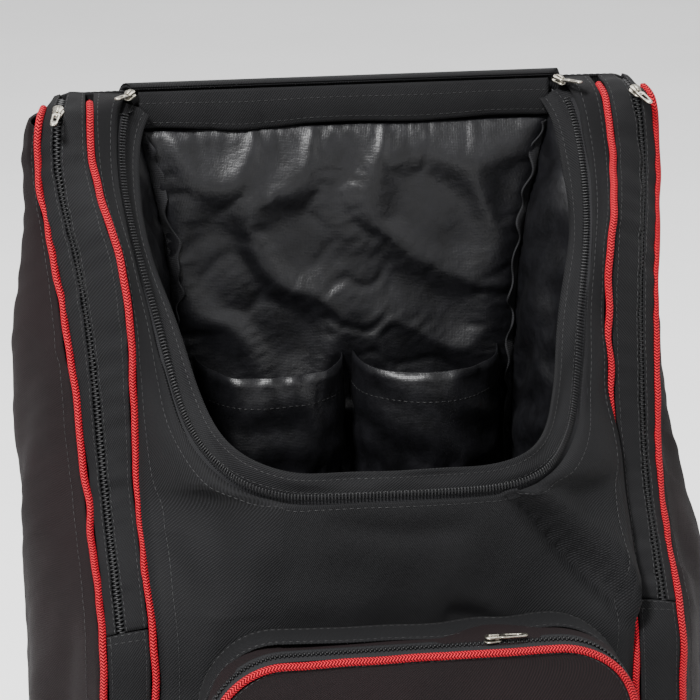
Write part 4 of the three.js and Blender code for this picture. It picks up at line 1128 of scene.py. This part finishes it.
fullness = 7 * MM + 2.4 * MM * ripple(fx, fz, 103, 110 * MM) + 0.7 * MM * ripple(fx, fz, 104, 40 * MM)
face[..., 1] = POCKET_FACE - plump * fullness
face_piece = dress("pocket_face", "pocket_cloth", face, WARM_TWILL)

# Its zip, over the top and a way down both sides
ZIP_DROP = 150 * MM
zip_y = sum(corner.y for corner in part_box("pocket_zip")) / 2
on_zip = line[:, 2] > POCKET_HIGH.z - ZIP_DROP
zip_path, zip_out = resample((line + point(0, zip_y, 0))[on_zip], 1.5 * MM, (outwards[on_zip],))
zip_frames = frames_along(zip_path, zip_out)
zip_tape = panel("pocket_zip_tape",
                 strip_grid(zip_frames, [(a, 1.1 * MM) for a in np.linspace(-9 * MM, 9 * MM, 8)]),
                 TAPE, -1, 0.6 * MM)
show(zip_tape, "zip_black", "pocket_zip")
coil("pocket_zip_coil", zip_frames, 1.8 * MM, 0.17)

# The rain flap above it
RAIN_DROP = 62 * MM
on_rain = line[:, 2] > POCKET_HIGH.z - RAIN_DROP
rain_line, rain_out, rain_y = line[on_rain], outwards[on_rain], pocket_rear[on_rain]
rain_t = np.linspace(0, 1, 14)
droop = 1.4 * MM + 1.4 * MM * np.sin(math.pi * rain_t)
rain = rain_line[:, None] + point(0, rain_y[:, None] - 26 * MM * rain_t[None] - 1 * MM, 0)
rain = rain + rain_out[:, None] * droop[None, :, None]
dress("pocket_rain_flap", "outer_cloth", rain, TWILL, 1, 1.0 * MM)
pocket_thread = Bits()
sew(pocket_thread, rain, 1, [2, -2])
sew(pocket_thread, face, 1, [3, -4])
sew(pocket_thread, gusset, 1, [-3])
show(pocket_thread.make("stitching_pocket", THREAD), "pocket_cloth")


# Sliders

def stadium(width, length, taper=1.0, count=10):
    """A rounded outline, from y 0 to length."""
    r = width / 2
    far = taper * r
    bottom = [(r * math.cos(a), r + r * math.sin(a)) for a in np.linspace(math.pi, 2 * math.pi, count)]
    top = [(far * math.cos(a), length - far + far * math.sin(a)) for a in np.linspace(0, math.pi, count)]
    return np.array(bottom + top)


def plate(bits, outline, low, high, hole=None):
    """A flat plate with softened edges, and an optional hole."""
    centre = outline.mean(0)
    soft = 0.35 * MM
    inner = centre + (outline - centre) * (1 - soft / np.abs(outline - centre).max())
    layers = [(inner, low), (outline, low + soft), (outline, high - soft), (inner, high)]
    if hole is not None:
        layers += [(hole, high), (hole, low)]
    bits.loft([np.column_stack([shape, np.full(len(shape), z)]) for shape, z in layers], hole is not None)


def slider(name, origin, heading, up, pull_lift=0.0):
    """A zip slider with its bail and pull, in place of the frame's plain one of that name."""
    bits = Bits()
    forward = lambda y: np.array([0, y * MM])
    body = stadium(8.5 * MM, 12 * MM, 0.72)
    plate(bits, body, -0.4 * MM, 1.0 * MM)
    plate(bits, body * np.array([0.9, 0.94]) + forward(0.4), 2.6 * MM, 3.8 * MM)
    plate(bits, stadium(3.4 * MM, 4 * MM) + forward(7), 1.0 * MM, 2.6 * MM)
    plate(bits, stadium(2.2 * MM, 7.5 * MM) + forward(3), 3.8 * MM, 5.0 * MM)
    hole = stadium(2.6 * MM, 9 * MM, 0.9) + forward(15)
    plate(bits, stadium(6.2 * MM, 20 * MM, 0.8) + forward(10), 2.4 * MM, 3.8 * MM, hole)
    pull = bits.verts[-1]
    pull[:, 2] += pull_lift * np.clip(pull[:, 1] - 10 * MM, 0, 1)
    y = unit(np.array(heading, float))
    z = unit(np.array(up, float) - y * np.dot(up, y))
    x = np.cross(y, z)
    points = np.array(origin) + np.concatenate(bits.verts) @ np.stack([x, y, z])
    show(make_object(name, points, bits.faces, METAL), "slider_metal", name)


SLIDER_ROW = 14.2
for side_name, side_sign in (("left", -1), ("right", 1)):
    rows = np.array([SLIDER_ROW, SLIDER_ROW + 0.3])
    seats = gusset_surface(rows, side_sign, at_zip, at_zip, 1)[:, 0]
    up = gusset_normal(rows[:1], side_sign)[0]
    slider("side_slider_" + side_name, seats[0] - up * 0.2 * MM, seats[0] - seats[1], up, 0.12)
    hinge = seam("mouth", np.array([14.7, 14.1]), side_sign)
    hinge[:, 0] -= side_sign * (ZIP_REACH - COIL_WIDTH / 2)
    slider("main_slider_" + side_name, hinge[0], hinge[1] - hinge[0], (0, 0, 1), 0.3)
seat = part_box("pocket_slider")
seat_middle = (seat[0].y + seat[1].y) / 2
slider("pocket_slider", (seat[0].x, seat_middle, POCKET_HIGH.z + 2.6 * MM), (1, 0, 0), (0, 0, 1))


# The stage, the light and the camera

floor = make_object("floor", [(-6, -6, 0), (6, -6, 0), (6, 9, 0), (-6, 9, 0)], [[0, 1, 2, 3]], None)
floor_nodes = Nodes("pale_floor")
grain = floor_nodes.noise(floor_nodes.where, 0.4, 3)
floor.data.materials[0] = floor_nodes.finish(
    Base_Color=floor_nodes.ramp(grain, (0.3, (0.86, 0.86, 0.86)), (0.7, (0.9, 0.9, 0.9))), Roughness=0.8)


BAG_MIDDLE = Vector((0, 0, 0.65))


def area_light(name, place, size, power):
    """A square lamp that looks at the middle of the bag."""
    data = bpy.data.lights.new(name, "AREA")
    data.size = size
    data.energy = power
    light = bpy.data.objects.new(name, data)
    light.location = place
    light.rotation_euler = (BAG_MIDDLE - Vector(place)).to_track_quat("-Z", "Y").to_euler()
    bpy.context.scene.collection.objects.link(light)


area_light("key", (-1.2, -1.5, 3.0), 0.6, 290)
area_light("fill", (2.6, -1.6, 1.4), 1.6, 25)
area_light("top", (0.3, 1.6, 3.2), 2.4, 105)
world = bpy.data.worlds.new("studio")
world.use_nodes = True
backdrop = world.node_tree.nodes["Background"].inputs
backdrop["Color"].default_value = (1, 1, 1, 1)
backdrop["Strength"].default_value = 1.0
bpy.context.scene.world = world

CAMERA_TARGET = Vector((0, 0.097, 0.69))
CAMERA_YAW, CAMERA_PITCH = math.radians(9), math.radians(18)
CAMERA_DISTANCE = 2.25
backwards = Vector((-math.sin(CAMERA_YAW) * math.cos(CAMERA_PITCH),
                    -math.cos(CAMERA_YAW) * math.cos(CAMERA_PITCH),
                    math.sin(CAMERA_PITCH)))
camera = bpy.data.objects.new("camera", bpy.data.cameras.new("camera"))
camera.data.sensor_width = 36
camera.data.lens = 159.4
camera.location = CAMERA_TARGET + backwards * CAMERA_DISTANCE
camera.rotation_euler = (-backwards).to_track_quat("-Z", "Y").to_euler()
bpy.context.scene.collection.objects.link(camera)
bpy.context.scene.camera = camera
